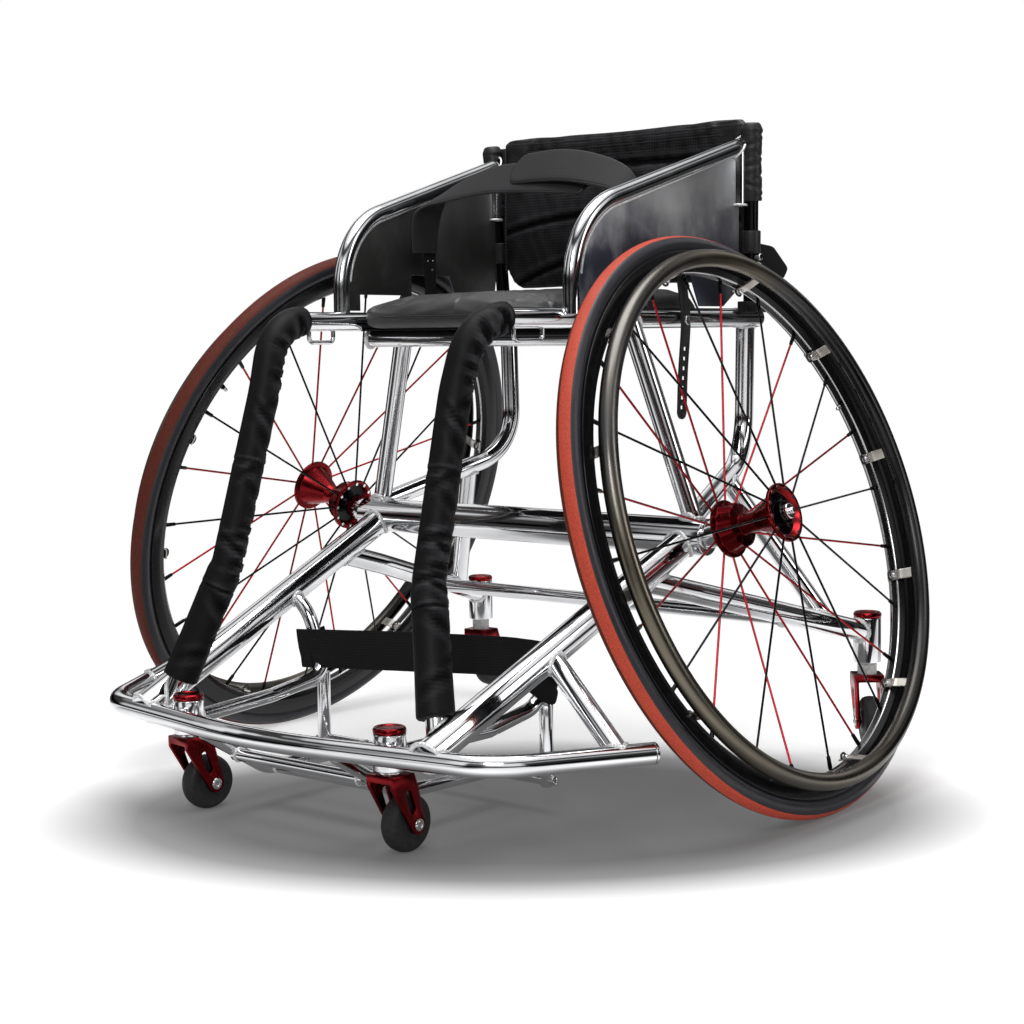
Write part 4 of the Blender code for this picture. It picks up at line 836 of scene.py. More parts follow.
def fork_mesh():
    """A folded caster fork: a crown block with two slotted legs that slant back to the wheel bolt."""
    crown, eye = 0.0155, 0.010
    arc = [math.radians(a) for a in range(200, 381, 15)]
    round_end = [(CASTER_TRAIL + eye * math.cos(a), -FORK_DROP + eye * math.sin(a)) for a in arc]
    outline = [(-crown, 0), (-crown, -0.012), *round_end, (crown + 0.005, -0.012), (crown, 0)]
    body = plate("fork", outline, -0.018, 0.018, sideways(), 0)
    wheel_room = [(-0.05, -0.0085), (0.06, -0.0085), (0.06, -0.08), (-0.05, -0.08)]
    slot = plate("slot", wheel_room, -0.013, 0.013, sideways(), 0)
    window = []
    c, s = math.cos(math.radians(20)), math.sin(math.radians(20))
    for start, offset in ((0, 0.0085), (math.pi, -0.0085)):
        for k in range(13):
            a = start + math.pi * k / 12
            x, y = 0.004 * math.cos(a), offset + 0.004 * math.sin(a)
            window.append((0.0100 + c * x - s * y, -0.0285 + s * x + c * y))
    opening = plate("window", window, -0.03, 0.03, sideways(), 0)
    return shaped("fork", body, [("DIFFERENCE", slot), ("DIFFERENCE", opening)], 0.0011)


def caster(where, side, letter, centre, spacer, high, turn):
    """One caster: its fork, then stem, wheel bolt, wheel and cap, each a profile of (radius, height) turned about
    its axis. The spacer is (radius, height) under a housing whose top is at high."""
    x, y, z = centre
    swivel = Matrix.Translation((side * x, y, z)) @ Matrix.Rotation(turn, 4, "Z")
    fork_body, wheel_body = f"{where}_caster_fork_{letter}", f"{where}_caster_wheel_{letter}"
    mesh = fork_mesh()
    mesh.transform(swivel)
    finished(f"{fork_body}_dressed", mesh, RED, fork_body, fork_body)
    wide, step = spacer
    profile = [(0, -0.003), (wide, -0.003), (wide, step), (0.006, step), (0.006, high - 0.003), (0, high - 0.003)]
    stem = lathe("stem", profile, swivel, 48, ease=0.0004)
    look = STEEL if where == "front" else NYLON
    finished(f"{where}_caster_stem_{letter}", stem, look, fork_body)
    axis = swivel @ Matrix.Translation((0, CASTER_TRAIL, -FORK_DROP)) @ QUARTER_TURN
    profile = [
        (0, -0.0190), (0.0020, -0.0190), (0.0020, -0.0180), (0.0055, -0.0195), (0.0060, -0.0165), (0.0035, -0.0160),
        (0.0035, 0.0150), (0.0062, 0.0160), (0.0062, 0.0185), (0.0045, 0.0198), (0.0028, 0.0198), (0.0024, 0.0188),
        (0, 0.0188),
    ]
    bolt = lathe("bolt", profile, axis, 24, ease=0.0004)
    finished(f"{where}_caster_bolt_{letter}", bolt, STEEL, fork_body)
    half = [
        (0.0039, 0.0113), (0.0100, 0.0115), (0.0125, 0.0105), (0.0150, 0.0098), (0.0215, 0.0102), (0.0262, 0.0098),
        (0.0286, 0.0062),
    ]
    profile = both_flanks(half, [(CASTER_RADIUS, 0)])
    wheel = lathe("wheel", profile, axis, 96, True, lambda r, h: int(r <= 0.0135), 0.002)
    looks = [CASTER_RUBBER, PLASTIC]
    finished(f"{wheel_body}_dressed", wheel, looks, wheel_body, wheel_body, sharp=60)
    profile = [
        (0, 0), (0.0160, 0), (0.0168, 0.0022), (0.0165, 0.0044), (0.0150, 0.0062), (0.0118, 0.0062), (0.0106, 0.0050),
        (0.0040, 0.0046), (0, 0.0048),
    ]
    cap = lathe("cap", profile, Matrix.Translation((side * x, y, z + high + GAP)), 72, ease=0.0006)
    node_name = f"{where}_caster_cap_{letter}"
    finished(f"{node_name}_dressed", cap, RED, "frame", node_name)


# Frame


# Each tube's corners, the radius of the arc at each inner corner, and its own radius
TUBES = {
    "side_tube": ([SIDE_TUBE_REAR, SIDE_TUBE_FRONT], [], 0.016),
    "wing_strut": ([at_y(SIDE_TUBE_REAR, SIDE_TUBE_FRONT, -0.232), at_y(WING_CORNER, WING_END, -0.2865)], [], 0.011),
    "foot_hanger": (
        [
            at_y(SIDE_TUBE_REAR, SIDE_TUBE_FRONT, -0.176), HANGER_UPPER, HANGER_BEND, HANGER_MIDDLE,
            (0.146, -0.3985, 0.101),
        ],
        [0.050, 0.030, 0],
        0.008,
    ),
    "seat_strut": ([at_y(RAIL_FRONT, RAIL_REAR, -0.021) + (0.0018, 0.0006, -0.006), (0.2385, 0.006, 0.284)], [], 0.011),
    "rear_frame_tube": ([(0.181, 0.1955, 0.524), REAR_TUBE_BEND, REAR_TUBE_END], [0.068], RAIL_RADIUS),
    "antitip_arm": ([ARM_START, ARM_BEND, ARM_END], [0.120], 0.0127),
    "antitip_strut": ([at_y(REAR_TUBE_BEND, REAR_TUBE_END, 0.130), at_y(ARM_BEND, ARM_END, 0.211)], [], 0.0105),
    "seat_rail": ([RAIL_REAR, RAIL_FRONT, LEG_UPPER, LEG_KINK, LEG_END], LEG_BENDS, RAIL_RADIUS),
}
# Each weld: the tube, which of its ends, and the piece that the end meets
WELDS = [
    ("side_tube", 0, "camber_tube"), ("side_tube", -1, "wing_bar"), ("wing_strut", 0, "side_tube"),
    ("wing_strut", -1, "wing_bar"), ("foot_hanger", 0, "side_tube"), ("foot_hanger", -1, "front_housing"),
    ("seat_strut", 0, "seat_rail"), ("seat_strut", -1, "camber_tube"), ("rear_frame_tube", 0, "seat_rail"),
    ("rear_frame_tube", -1, "camber_tube"), ("antitip_arm", 0, "side_tube"), ("antitip_arm", -1, "rear_housing"),
    ("antitip_strut", 0, "rear_frame_tube"), ("antitip_strut", -1, "antitip_arm"), ("seat_rail", -1, "side_tube"),
    ("antitip_cross", -1, "antitip_arm"), ("seat_cross_front", -1, "seat_rail"), ("seat_cross_rear", -1, "seat_rail"),
]


def bead(loop, radius=0.0025):
    """A rippled weld bead swept along a closed line: its radius is 0.86 plus 0.20 times the size of a sine wave,
    with a ripple every 3 mm."""
    step, pitch = 0.0006, 0.0030
    loop = resampled(np.vstack([loop, loop[:1]]), step)[:-1]
    s = np.arange(len(loop)) * step
    wave = radius * (0.86 + 0.20 * np.abs(np.sin(math.pi * s / pitch)))
    return grid_mesh("bead", swept(loop, wave, 10, closed=True), close_rows=True)


def meeting_line(end, way, radius, point, axis, main_radius):
    """Where the outside of a tube that arrives along way first meets a round bar through point along axis: each
    line along the tube's skin is cut with the bar, as the smaller root of a quadratic."""
    way, axis = unit(way), unit(axis)
    crossing = np.cross(way, axis)
    first = unit(crossing if np.linalg.norm(crossing) > 0.05 else np.cross(way, (0, 0, 1)))
    second = np.cross(way, first)
    loop = []
    for a in np.arange(96) * TAU / 96:
        start = end - way * 0.08 + radius * (math.cos(a) * first + math.sin(a) * second)
        p, q = np.cross(start - point, axis), np.cross(way, axis)
        qa, qb, qc = q @ q, 2 * p @ q, p @ p - main_radius**2
        root = qb * qb - 4 * qa * qc
        t = (-qb - math.sqrt(root)) / (2 * qa) if root > 0 else -qb / (2 * qa)
        loop.append(start + way * min(t, 0.125))
    return np.array(loop)


def nearest(route, spot):
    """The point of a line nearest to a spot and the line's direction there."""
    a, b = route[:-1], route[1:]
    t = np.clip(((spot - a) * (b - a)).sum(1) / np.maximum(((b - a) ** 2).sum(1), 1e-12), 0, 1)
    q = a + t[:, None] * (b - a)
    k = np.linalg.norm(q - spot, axis=1).argmin()
    return q[k], b[k] - a[k]


def frame_routes():
    """The centre line and the radius of every tube and housing that a weld joins, for both sides."""
    routes = {}
    camber = np.array(mirrored([CAMBER_TUBE_END], -1) + [vec(CAMBER_TUBE_END)])
    wing = mirrored([WING_END, WING_CORNER], -1) + [vec(WING_CENTRE), vec(WING_CORNER), vec(WING_END)]
    wing = fillet(wing, [0.088, 0.550, 0.088])
    cross_tubes = (
        ("antitip_cross", at_y(ARM_BEND, ARM_END, 0.136) - (0, 0, 0.006), 0.0085),
        ("seat_cross_front", (0.157, -0.090, at_y(RAIL_FRONT, RAIL_REAR, -0.090)[2] - 0.0205), 0.0095),
        ("seat_cross_rear", (at_y(RAIL_FRONT, RAIL_REAR, 0.178)[0], 0.178, 0.524), 0.0095),
    )
    for side, letter in SIDES:
        for name, (points, bends, radius) in TUBES.items():
            routes[name, letter] = fillet(mirrored(points, side), bends), radius
        routes["camber_tube", letter] = camber, CAMBER_TUBE_RADIUS
        routes["wing_bar", letter] = wing, RAIL_RADIUS
        for name, (x, y, z), heights in (
            ("front_housing", FRONT_CASTER, FRONT_HOUSING),
            ("rear_housing", REAR_CASTER, REAR_HOUSING),
        ):
            routes[name, letter] = np.array([vec((side * x, y, z + height)) for height in heights]), HOUSING_RADIUS
        for name, end, radius in cross_tubes:
            routes[name, letter] = np.array(mirrored([end], -side) + mirrored([end], side)), radius
    return routes


def polished(name, mesh, replaces=(), sharp=40):
    """A polished aluminium piece of the frame."""
    return finished(name, mesh, POLISHED, "frame", replaces, sharp)


def frame_pieces():
    """The frame: tubes swept along their filleted centre lines, turned plugs and housings, and the weld beads."""
    routes = frame_routes()
    for side, letter in SIDES:
        for name, (_, _, radius) in TUBES.items():
            route = routes[name, letter][0]
            mesh = grid_mesh(name, swept(resampled(route, TUBE_STEP) if len(route) > 2 else route, radius, 48))
            polished(f"{name}_{letter}_dressed", mesh, f"{name}_{letter}", 50)
        beads = []
        for name, end, main in WELDS:
            route, radius = routes[name, letter]
            spot, way = (route[0], route[0] - route[1]) if end == 0 else (route[-1], route[-1] - route[-2])
            point, axis = nearest(routes[main, letter][0], spot)
            beads.append(bead(meeting_line(spot, way, radius, point, axis, routes[main, letter][1])))
        finished(f"weld_beads_{letter}", joined("beads", beads), WELD, "frame", sharp=0)
        housing(side, FRONT_CASTER, FRONT_HOUSING, f"front_housing_{letter}_dressed", f"front_caster_housing_{letter}")
        housing(side, REAR_CASTER, REAR_HOUSING, f"rear_housing_{letter}_dressed")
        wire_loop(side, letter)
    wing_bar(routes["wing_bar", "L"][0])
    half, _, height = CAMBER_TUBE_END
    lying = Matrix.Translation((0, 0, height)) @ QUARTER_TURN
    mesh = lathe("camber", pin(CAMBER_TUBE_RADIUS, -half, half), lying, 72, ease=0.001)
    polished("camber_tube_dressed", mesh, "camber_tube")
    for side, letter in SIDES:
        profile = [(0.0070, -0.078), (0.015, -0.078), (0.015, -0.0392), (0.0070, -0.0392)]
        polished(f"camber_plug_{letter}", lathe("plug", profile, wheel_matrix(side), 64, True, ease=0.0012))
    for key, name in (
        ("antitip_cross", "antitip_cross_tube"),
        ("seat_cross_front", "seat_cross_front"),
        ("seat_cross_rear", "seat_cross_rear"),
    ):
        polished(f"{name}_dressed", grid_mesh(name, swept(*routes[key, "L"], 48)), name)


def wing_bar(line):
    """The round front bar, run 4 mm past its line at both ends, and its turned end plugs."""
    tips = [end + unit(end - next_one) * 0.004 for end, next_one in ((line[0], line[1]), (line[-1], line[-2]))]
    route = np.vstack([tips[0], line, tips[1]])
    mesh = grid_mesh("wing_bar", swept(resampled(route, TUBE_STEP), RAIL_RADIUS, 56, (0, 0, 1)))
    polished("wing_bar_dressed", mesh, "wing_bar", 50)
    profile = [
        (0, -0.004), (0.0100, -0.004), (0.0100, -0.0014), (0.0090, -0.0008), (0.0090, 0.0006), (0.0110, 0.0012),
        (0.0110, 0.0036), (0.0096, 0.0048), (0.0070, 0.0048), (0.0062, 0.0038), (0, 0.0040),
    ]
    for tip, inner, letter in ((tips[1], line[-2], "L"), (tips[0], line[1], "R")):
        plug = lathe("plug", profile, aimed(tip, unit(tip - inner)), 48, ease=0.0003)
        finished(f"wing_plug_{letter}", plug, STEEL, "frame")


def housing(side, centre, heights, name, replaces=()):
    """A caster housing, a ring turned about the fork's stem."""
    x, y, z = centre
    low, high = heights
    profile = [(HOUSING_BORE, low), (HOUSING_RADIUS, low), (HOUSING_RADIUS, high), (HOUSING_BORE, high)]
    mesh = lathe("housing", profile, Matrix.Translation((side * x, y, z)), 72, True, ease=0.0012)
    polished(name, mesh, replaces)


def wire_loop(side, letter):
    """The thin wire loop that hangs under the seat rail."""
    front, rear = at_y(RAIL_FRONT, RAIL_REAR, -0.203), at_y(RAIL_FRONT, RAIL_REAR, -0.160)
    high, low = (0, 0, 0.006), (0, 0, 0.0235)
    corners = mirrored([front - high, front - low, rear - low, rear - high], side)
    mesh = grid_mesh("loop", swept(resampled(fillet(corners, [0.006, 0.006]), 0.001), 0.0025, 16))
    polished(f"wire_loop_{letter}", mesh)


def footrest():
    """The footrest under the front bar: two sleds, whose domed front ends have the radius times the root of one
    minus the squared share of the dome that is left, three bars, two drop struts and their clamp bolts."""
    meshes, beads = [], []
    for side, letter in SIDES:
        corners = mirrored([(0.096, -0.4280, 0.1000), (0.096, -0.333, 0.0425), (0.097, -0.175, 0.0380)], side)
        sled = resampled(fillet(corners, [0.050]), 0.001)
        dome = np.sqrt(1 - np.clip(1 - np.arange(len(sled)) / 8.5, 0, 0.97) ** 2)
        meshes.append(grid_mesh("sled", swept(sled, 0.0075 * dome, 40)))
        profile = [(0, 0.028), (0.0060, 0.028), (0.0078, 0.031), (0.0078, 0.118), (0, 0.118)]
        drop = lathe("drop", profile, Matrix.Translation((side * DROP_X, DROP_Y, 0)), 40, ease=0.0012)
        polished(f"drop_strut_{letter}", drop)
        turn = Matrix.Translation((0, DROP_Y, 0.036)) @ Matrix.Rotation(side * math.pi / 2, 4, "Y")
        profile = [(0, 0.166), (0.0056, 0.166), (0.0056, 0.1765), (0.0036, 0.1765), (0.0030, 0.1740), (0, 0.1740)]
        end = lathe("end", profile, turn, 32, zone=lambda r, h: int(r < 0.0033), ease=0.0004)
        finished(f"clamp_bolt_{letter}", end, [STEEL, PLASTIC], "frame")
    for half, y, z, radius, welded in (
        (0.095, -0.3805, 0.0665, 0.0067, True),
        (0.095, -0.3235, 0.0425, 0.0062, True),
        (DROP_X, DROP_Y, 0.0370, 0.0075, False),
    ):
        meshes.append(grid_mesh("bar", swept(np.array([(-half, y, z), (half, y, z)]), radius, 40)))
        for side in (1, -1) if welded else ():
            ring = circle((side * (half - 0.0065), y, z), (0, 1, 0), (0, 0, 1), radius, 48)
            beads.append(bead(ring, 0.0016))
    polished("footrest_frame_dressed", joined("footrest", meshes), "footrest_frame", 50)
    finished("footrest_beads", joined("beads", beads), WELD, "frame", sharp=0)


# Seat


def guard_route():
    """The guard tube's line in the guard's own plane: up the front, round the bend, up the slope and down behind."""
    apex = GUARD_FRONT_TOP + GUARD_LENGTH * math.tan(GUARD_SLOPE)
    points = [(0, GUARD_BASE[2], 0), (0, GUARD_FRONT_TOP, 0), (GUARD_LENGTH, apex, 0), (GUARD_LENGTH, GUARD_LEG_END, 0)]
    return fillet(points, [GUARD_BEND, 0])


def guard_matrix(side):
    """The guard's own space: X back along the sheet, Y up, and Z across it, turned out by GUARD_TURN."""
    x, y, _ = GUARD_BASE
    way = Vector((math.sin(GUARD_TURN), math.cos(GUARD_TURN), 0))
    up = Vector((0, 0, 1))
    turn = Matrix((way, up, way.cross(up))).transposed().to_4x4()
    return Matrix.Diagonal((side, 1, 1, 1)) @ Matrix.Translation((x, y, 0)) @ turn


def side_guard(side, letter):
    """A bent tube over a cut sheet. The seam is two rippled beads along the inside of the tube, whose radius is
    0.75 plus 0.45 times the size of a sine wave with a ripple every 3 mm; rings of weld close the tube's corner
    and foot, and a gusset stands under its end."""
    place = guard_matrix(side)
    line = guard_route()
    tube = grid_mesh("guard_tube", swept(resampled(moved(line, place), 0.003), GUARD_RADIUS, 48, (1, 0, 0)))
    finished(f"side_guard_tube_{letter}", tube, GUARD_TUBE, "frame", f"side_guard_{letter}", sharp=50)
    foot_y, half = GUARD_BASE[1], GUARD_SHEET / 2
    feet = [
        (0.174, 0.575), (0.171, 0.556), (0.143, 0.537), (0.097, 0.537), (0.076, 0.581), (0, 0.581), (0, 0.537),
        (-0.018, 0.537), (-0.018, 0.556), (-0.097, 0.556), (-0.097, 0.537), (foot_y, 0.537),
    ]
    outline = [(p[0], p[1]) for p in line[1:-1]] + [(y - foot_y, z) for y, z in feet]
    sheet = plate("guard_sheet", outline, -half, half, place, 0.0003)
    give_slots(sheet, rows_of(sheet.polygons, "normal")[:, 0] * side < -0.5)
    finished(f"side_guard_sheet_{letter}", sheet, [SHEET_OUTER, SHEET_INNER], "frame")
    inner, centre, step = line[3:-1], vec((GUARD_LENGTH * 0.62, 0.58, 0)), 0.0007
    beads = []
    for face in (0.0020, -0.0020):
        path = resampled(moved(inner + unit(centre - inner) * 0.0126 + (0, 0, face), place), step)
        wave = 0.0019 * (0.75 + 0.45 * np.abs(np.sin(math.pi * np.arange(len(path)) * step / 0.0030)))
        beads.append(grid_mesh("seam", swept(path, wave, 8)))
    before, corner, last = line[-3:]
    proud, across = 0.0097, vec((0, 0, 1))
    crossing = unit(unit(before - corner) - unit(last - corner))
    lean = unit(np.cross(crossing, across))
    reach = proud / abs(lean @ np.cross(unit(last - corner), across))
    ring = [corner + reach * math.cos(a) * lean + proud * math.sin(a) * across for a in np.arange(64) * TAU / 64]
    beads.append(bead(moved(np.array(ring), place), 0.0013))
    beads.append(bead(moved(circle(last, (1, 0, 0), across, proud, 64), place), 0.0014))
    finished(f"side_guard_seam_{letter}", joined("seam", beads), WELD, "frame", sharp=0)
    gusset = [last[:2] + corner_of for corner_of in ((0.004, 0.020), (0.0165, -0.001), (-0.004, -0.001))]
    gusset = plate("gusset", gusset, 0.0015, 0.0045, place, 0.0005)
    finished(f"guard_gusset_{letter}", gusset, GUARD_TUBE, "frame")


def on_post(side, z):
    """The point at this height on the back post's axis."""
    base, top = mirrored([POST_BASE, POST_TOP], side)
    return base + (top - base) * (z - base[2]) / (top[2] - base[2])


def back_post(side, letter):
    """A round post, its clamp, the block at its foot and the bolt through it."""
    post = grid_mesh("post", swept(np.array([on_post(side, 0.524), on_post(side, 0.742)]), 0.0085, 40))
    finished(f"back_post_{letter}_dressed", post, BLACK_METAL, "frame", f"back_post_{letter}")
    clamp = rod("clamp", on_post(side, 0.600), on_post(side, 0.626), 0.0115, 48, 0.0015)
    finished(f"post_clamp_{letter}", clamp, PLASTIC, "frame")
    outline = [(0.168, 0.5300), (0.212, 0.5300), (0.212, 0.5430), (0.168, 0.5430)]
    block = plate("block", outline, side * 0.1868, side * 0.2000, sideways(), 0.0012)
    finished(f"post_foot_{letter}", block, PLASTIC, "frame")
    spot = on_post(side, 0.595)
    bolt = rod("bolt", spot, spot + (side * 0.0145, 0, 0), 0.004, 20, 0.0008)
    finished(f"post_bolt_{letter}", bolt, STEEL, "frame")


def edge_fall(u, v, power):
    """1 in the middle and 0 at the edges: the root of one minus u to the power, times the same of v."""
    return np.sqrt(np.maximum(0, 1 - np.abs(u) ** power)) * np.sqrt(np.maximum(0, 1 - np.abs(v) ** power))


def slab(name, front, back, columns, rows):
    """A closed soft form between two surfaces over u and v from -1 to 1, with a wall round their shared rim. The
    columns lie closer at the sides, as the sine of their place."""
    u = np.sin(math.pi * (np.arange(columns + 1) / columns - 0.5))
    v = np.linspace(-1, 1, rows + 1)
    sheets = [surface(*np.meshgrid(u, v)) for surface in (front, back)]
    quads = grid_faces(rows + 1, columns + 1, False, False)
    wide, count = columns + 1, (rows + 1) * (columns + 1)
    faces = quads.tolist() + (quads[:, ::-1] + count).tolist()
    rim = [*range(wide), *(i * wide + columns for i in range(1, rows))]
    rim += [*(rows * wide + j for j in range(columns, -1, -1)), *(i * wide for i in range(rows - 1, 0, -1))]
    faces += [[a, b, b + count, a + count] for a, b in zip(rim, [*rim[1:], rim[0]])]
    verts = np.concatenate([s.reshape(-1, 3) for s in sheets])
    mesh = bpy.data.meshes.new(name)
    mesh.from_pydata(verts.tolist(), [], faces)
    layer = mesh.uv_layers.new(name="UVMap")
    loops = np.zeros(len(mesh.loops), int)
    mesh.loops.foreach_get("vertex_index", loops)
    span = verts.max(0) - verts.min(0)
    a, b = sorted(np.argsort(span)[1:])
    layer.data.foreach_set("uv", verts[loops][:, [a, b]].astype(float).ravel())
    return faced_outward(mesh)


def settle(mesh, points):
    """Moves the mesh's points to these."""
    mesh.vertices.foreach_set("co", np.asarray(points, float).ravel())
    mesh.update()


def through(mesh, *modifiers):
    """The mesh after the given modifiers, as (type, settings)."""
    piece = linked("work", mesh)
    for kind, settings in modifiers:
        modifier = piece.modifiers.new(kind, kind)
        for key, value in settings.items():
            setattr(modifier, key, value)
    bpy.context.view_layer.update()
    out = baked(piece)
    bpy.data.objects.remove(piece)
    return out


def puffed(name, mesh, voxel, cap, held):
    """A padded skin: the closed form remeshed and blown up as cloth. The points where held(points) is true
    stay sewn down, and none moves further than the cap."""
    skin = through(mesh, ("REMESH", {"mode": "VOXEL", "voxel_size": voxel}))
    rest = rows_of(skin.vertices, "co")
    piece = linked("work", skin)
    sewn = piece.vertex_groups.new(name="sewn")
    sewn.add(np.flatnonzero(held(rest)).tolist(), 1.0, "REPLACE")
    cloth = piece.modifiers.new("puff", "CLOTH")
    cloth.settings.use_pressure = True
    cloth.settings.uniform_pressure_force = 4.0
    cloth.settings.vertex_group_mass = "sewn"
    cloth.settings.effector_weights.gravity = 0
    cloth.point_cache.frame_start, cloth.point_cache.frame_end = 1, PUFF_FRAMES
    for step in range(1, PUFF_FRAMES + 1):
        bpy.context.scene.frame_set(step)
    move = rows_of(baked(piece).vertices, "co") - rest
    length = np.linalg.norm(move, axis=1, keepdims=True)
    rest = rest + move * np.minimum(1, cap / np.maximum(length, 1e-9))
    bpy.data.objects.remove(piece)
    bpy.context.scene.frame_set(1)
    settle(skin, rest)
    out = through(skin, ("SUBSURF", {"levels": 1, "render_levels": 1}))
    out.name = name
    return out


def carved(mesh, depth):
    """The mesh with each point moved along its normal by depth(points, normals). Its fold attribute keeps the move as a
    share of 2 mm, from -1 to 1, and the cloth materials paint highlights on the crests and shade in the grooves from
    it."""
    points, normals = rows_of(mesh.vertices, "co"), rows_of(mesh.vertices, "normal")
    move = depth(points, normals)
    settle(mesh, points + normals * move[:, None])
    share = np.clip(move / 0.002, -1, 1).astype(np.float32)
    mesh.attributes.new("fold", "FLOAT", "POINT").data.foreach_set("value", share)
    return mesh


def valley(distance, reach):
    """A sewn line's cross section: minus a narrow bell curve for the groove, plus 0.35 times a bell curve that
    peaks 1.5 reaches away on each side for the soft shoulders."""
    x = distance / reach
    return -np.exp(-2.5 * x**2) + 0.35 * np.exp(-1.6 * (np.abs(x) - 1.5) ** 2)


def folds(s, angle, rows):
    """How far a sleeve's skin moves out at a place along it and an angle round it: the sum of slanted valleys that
    fade round the sleeve. Rows are (place, angle, reach, spread, depth, slant)."""
    total = 0.0 * (s + angle)
    for place, at, reach, spread, depth, slant in rows:
        away = np.angle(np.exp(1j * (angle - at)))
        total = total + depth * valley(s - place - slant * away, reach) * np.exp(-((away / spread) ** 2))
    return total


def stitches(route, name):
    """Short thread ends along a line, one every 4.2 mm, thin at both ends."""
    line = resampled(route, 0.0042 / 4)
    radius = np.array([0.6, 1.0, 0.6]) * 0.00042
    meshes = [grid_mesh("stitch", swept(line[k : k + 3], radius, 6)) for k in range(0, len(line) - 3, 4)]
    finished(name, joined(name, meshes), THREAD, "frame", sharp=0)


def padded_strap(name, rows, thickness, tip):
    """A padded strap through rows of (centre, direction across, half width), with corded edges. Over the tip's
    length the half width falls as a quarter circle does."""
    line = smooth_line([np.concatenate([vec(c), unit(vec(w)), [h]]) for c, w, h in rows], 14)
    centre, across, half = line[:, :3], unit(line[:, 3:6]), line[:, 6]
    s = place_along(centre)
    half = half * np.sqrt(1 - np.clip(1 - (s[-1] - s) / tip, 0, 0.985) ** 2)
    points, uv = band([(c, a * h) for c, a, h in zip(centre, across, half)], thickness, 28)
    strap = finished(name, grid_mesh("strap", points, uv=uv), BELT_CLOTH, "frame", "lap_belt", sharp=0)
    edge = np.vstack([centre + across * half[:, None], (centre - across * half[:, None])[::-1]])
    cord = grid_mesh("cord", swept(resampled(edge, 0.002), 0.0017, 10))
    finished(f"{name}_piping", cord, PIPING, "frame", sharp=0)
    float(steps_along(centre).sum())


def seat_sling():
    """The sling, a flat sheet stretched between the rails' centres."""
    front, rear = at_y(RAIL_FRONT, RAIL_REAR, -0.112)[0], at_y(RAIL_FRONT, RAIL_REAR, 0.166)[0]
    outline = [(-front, -0.112), (front, -0.112), (rear, 0.166), (-rear, 0.166)]
    sling = plate("sling", outline, 0.5130, 0.5150, Matrix(), 0.0004)
    piece = finished("seat_sling_dressed", sling, WEBBING, "frame", "seat_sling")


def cushion():
    """The cushion, a slab between two crowned surfaces that meet at the seam, blown up as cloth by at most the slack
    that its form leaves for it. The piping is a squarish loop round the seam."""
    y_low, y_high, bottom_z = -0.125, 0.162, 0.5153
    seam = bottom_z + 0.013
    slack = 0.0022

    def spot(u, v, height):
        """The point at a share of the half width and half length, at this height."""
        y = (y_low + y_high) / 2 + ((y_high - y_low) / 2 - slack) * v
        return np.stack([(0.140 - slack) * u, y, height + 0 * u], -1)

    def top(u, v):
        """Seam height plus the crown, which rises to the rear and the middle, times the fall at the edges."""
        v = np.sin(math.pi * v / 2)
        crown = 0.546 + 0.010 * (v + 1) / 2 + 0.006 * (1 - u * u) - slack
        return spot(u, v, seam + 0.001 + (crown - seam) * edge_fall(u, v, 44))

    def bottom(u, v):
        """Seam height less the depth below it times the root of the fall at the edges."""
        v = np.sin(math.pi * v / 2)
        return spot(u, v, seam - (seam - bottom_z) * np.sqrt(edge_fall(u, v, 30)))

    def held(points):
        """The base and the seam."""
        return (points[:, 2] < bottom_z + 0.004) | (np.abs(points[:, 2] - seam) < 0.0035)

    def worn(points, _):
        """Soft dents on top and short slanted pulls over the front edge."""
        x, y, z = points.T
        up = np.clip((z - 0.535) / 0.01, 0, 1)
        soft = 0.0007 * np.sin(62 * x + 9 * np.sin(21 * y)) * np.sin(48 * y + 5 * np.sin(30 * x))
        front = np.clip((-0.105 - y) / 0.015, 0, 1) * (z > seam + 0.004)
        pulls = 0.0009 * np.sin(95 * x + 260 * (z - seam) * np.sign(np.sin(40 * x))) * front
        return (soft * up + pulls) * (z > seam + 0.003)

    mesh = carved(puffed("cushion", slab("cushion", top, bottom, 96, 84), 0.004, 0.0032, held), worn)
    piece = finished("seat_cushion_dressed", mesh, VINYL, "frame", "seat_cushion", sharp=0)
    t = np.arange(240) / 240 * TAU
    x, y = 0.1405 * squarish(np.cos(t), 0.16), 0.0185 + 0.144 * squarish(np.sin(t), 0.16)
    line = np.stack([x, y, seam + 0 * t], -1)
    piping = grid_mesh("piping", swept(line, 0.0016, 10, closed=True), close_rows=True)
    finished("cushion_piping", piping, PIPING, "frame", sharp=0)


def back_height(x):
    """The top edge of the back, which falls off as a parabola past 0.15 m from the middle."""
    return 0.760 - 0.010 * np.maximum(0, (np.abs(x) - 0.15) / 0.05) ** 2


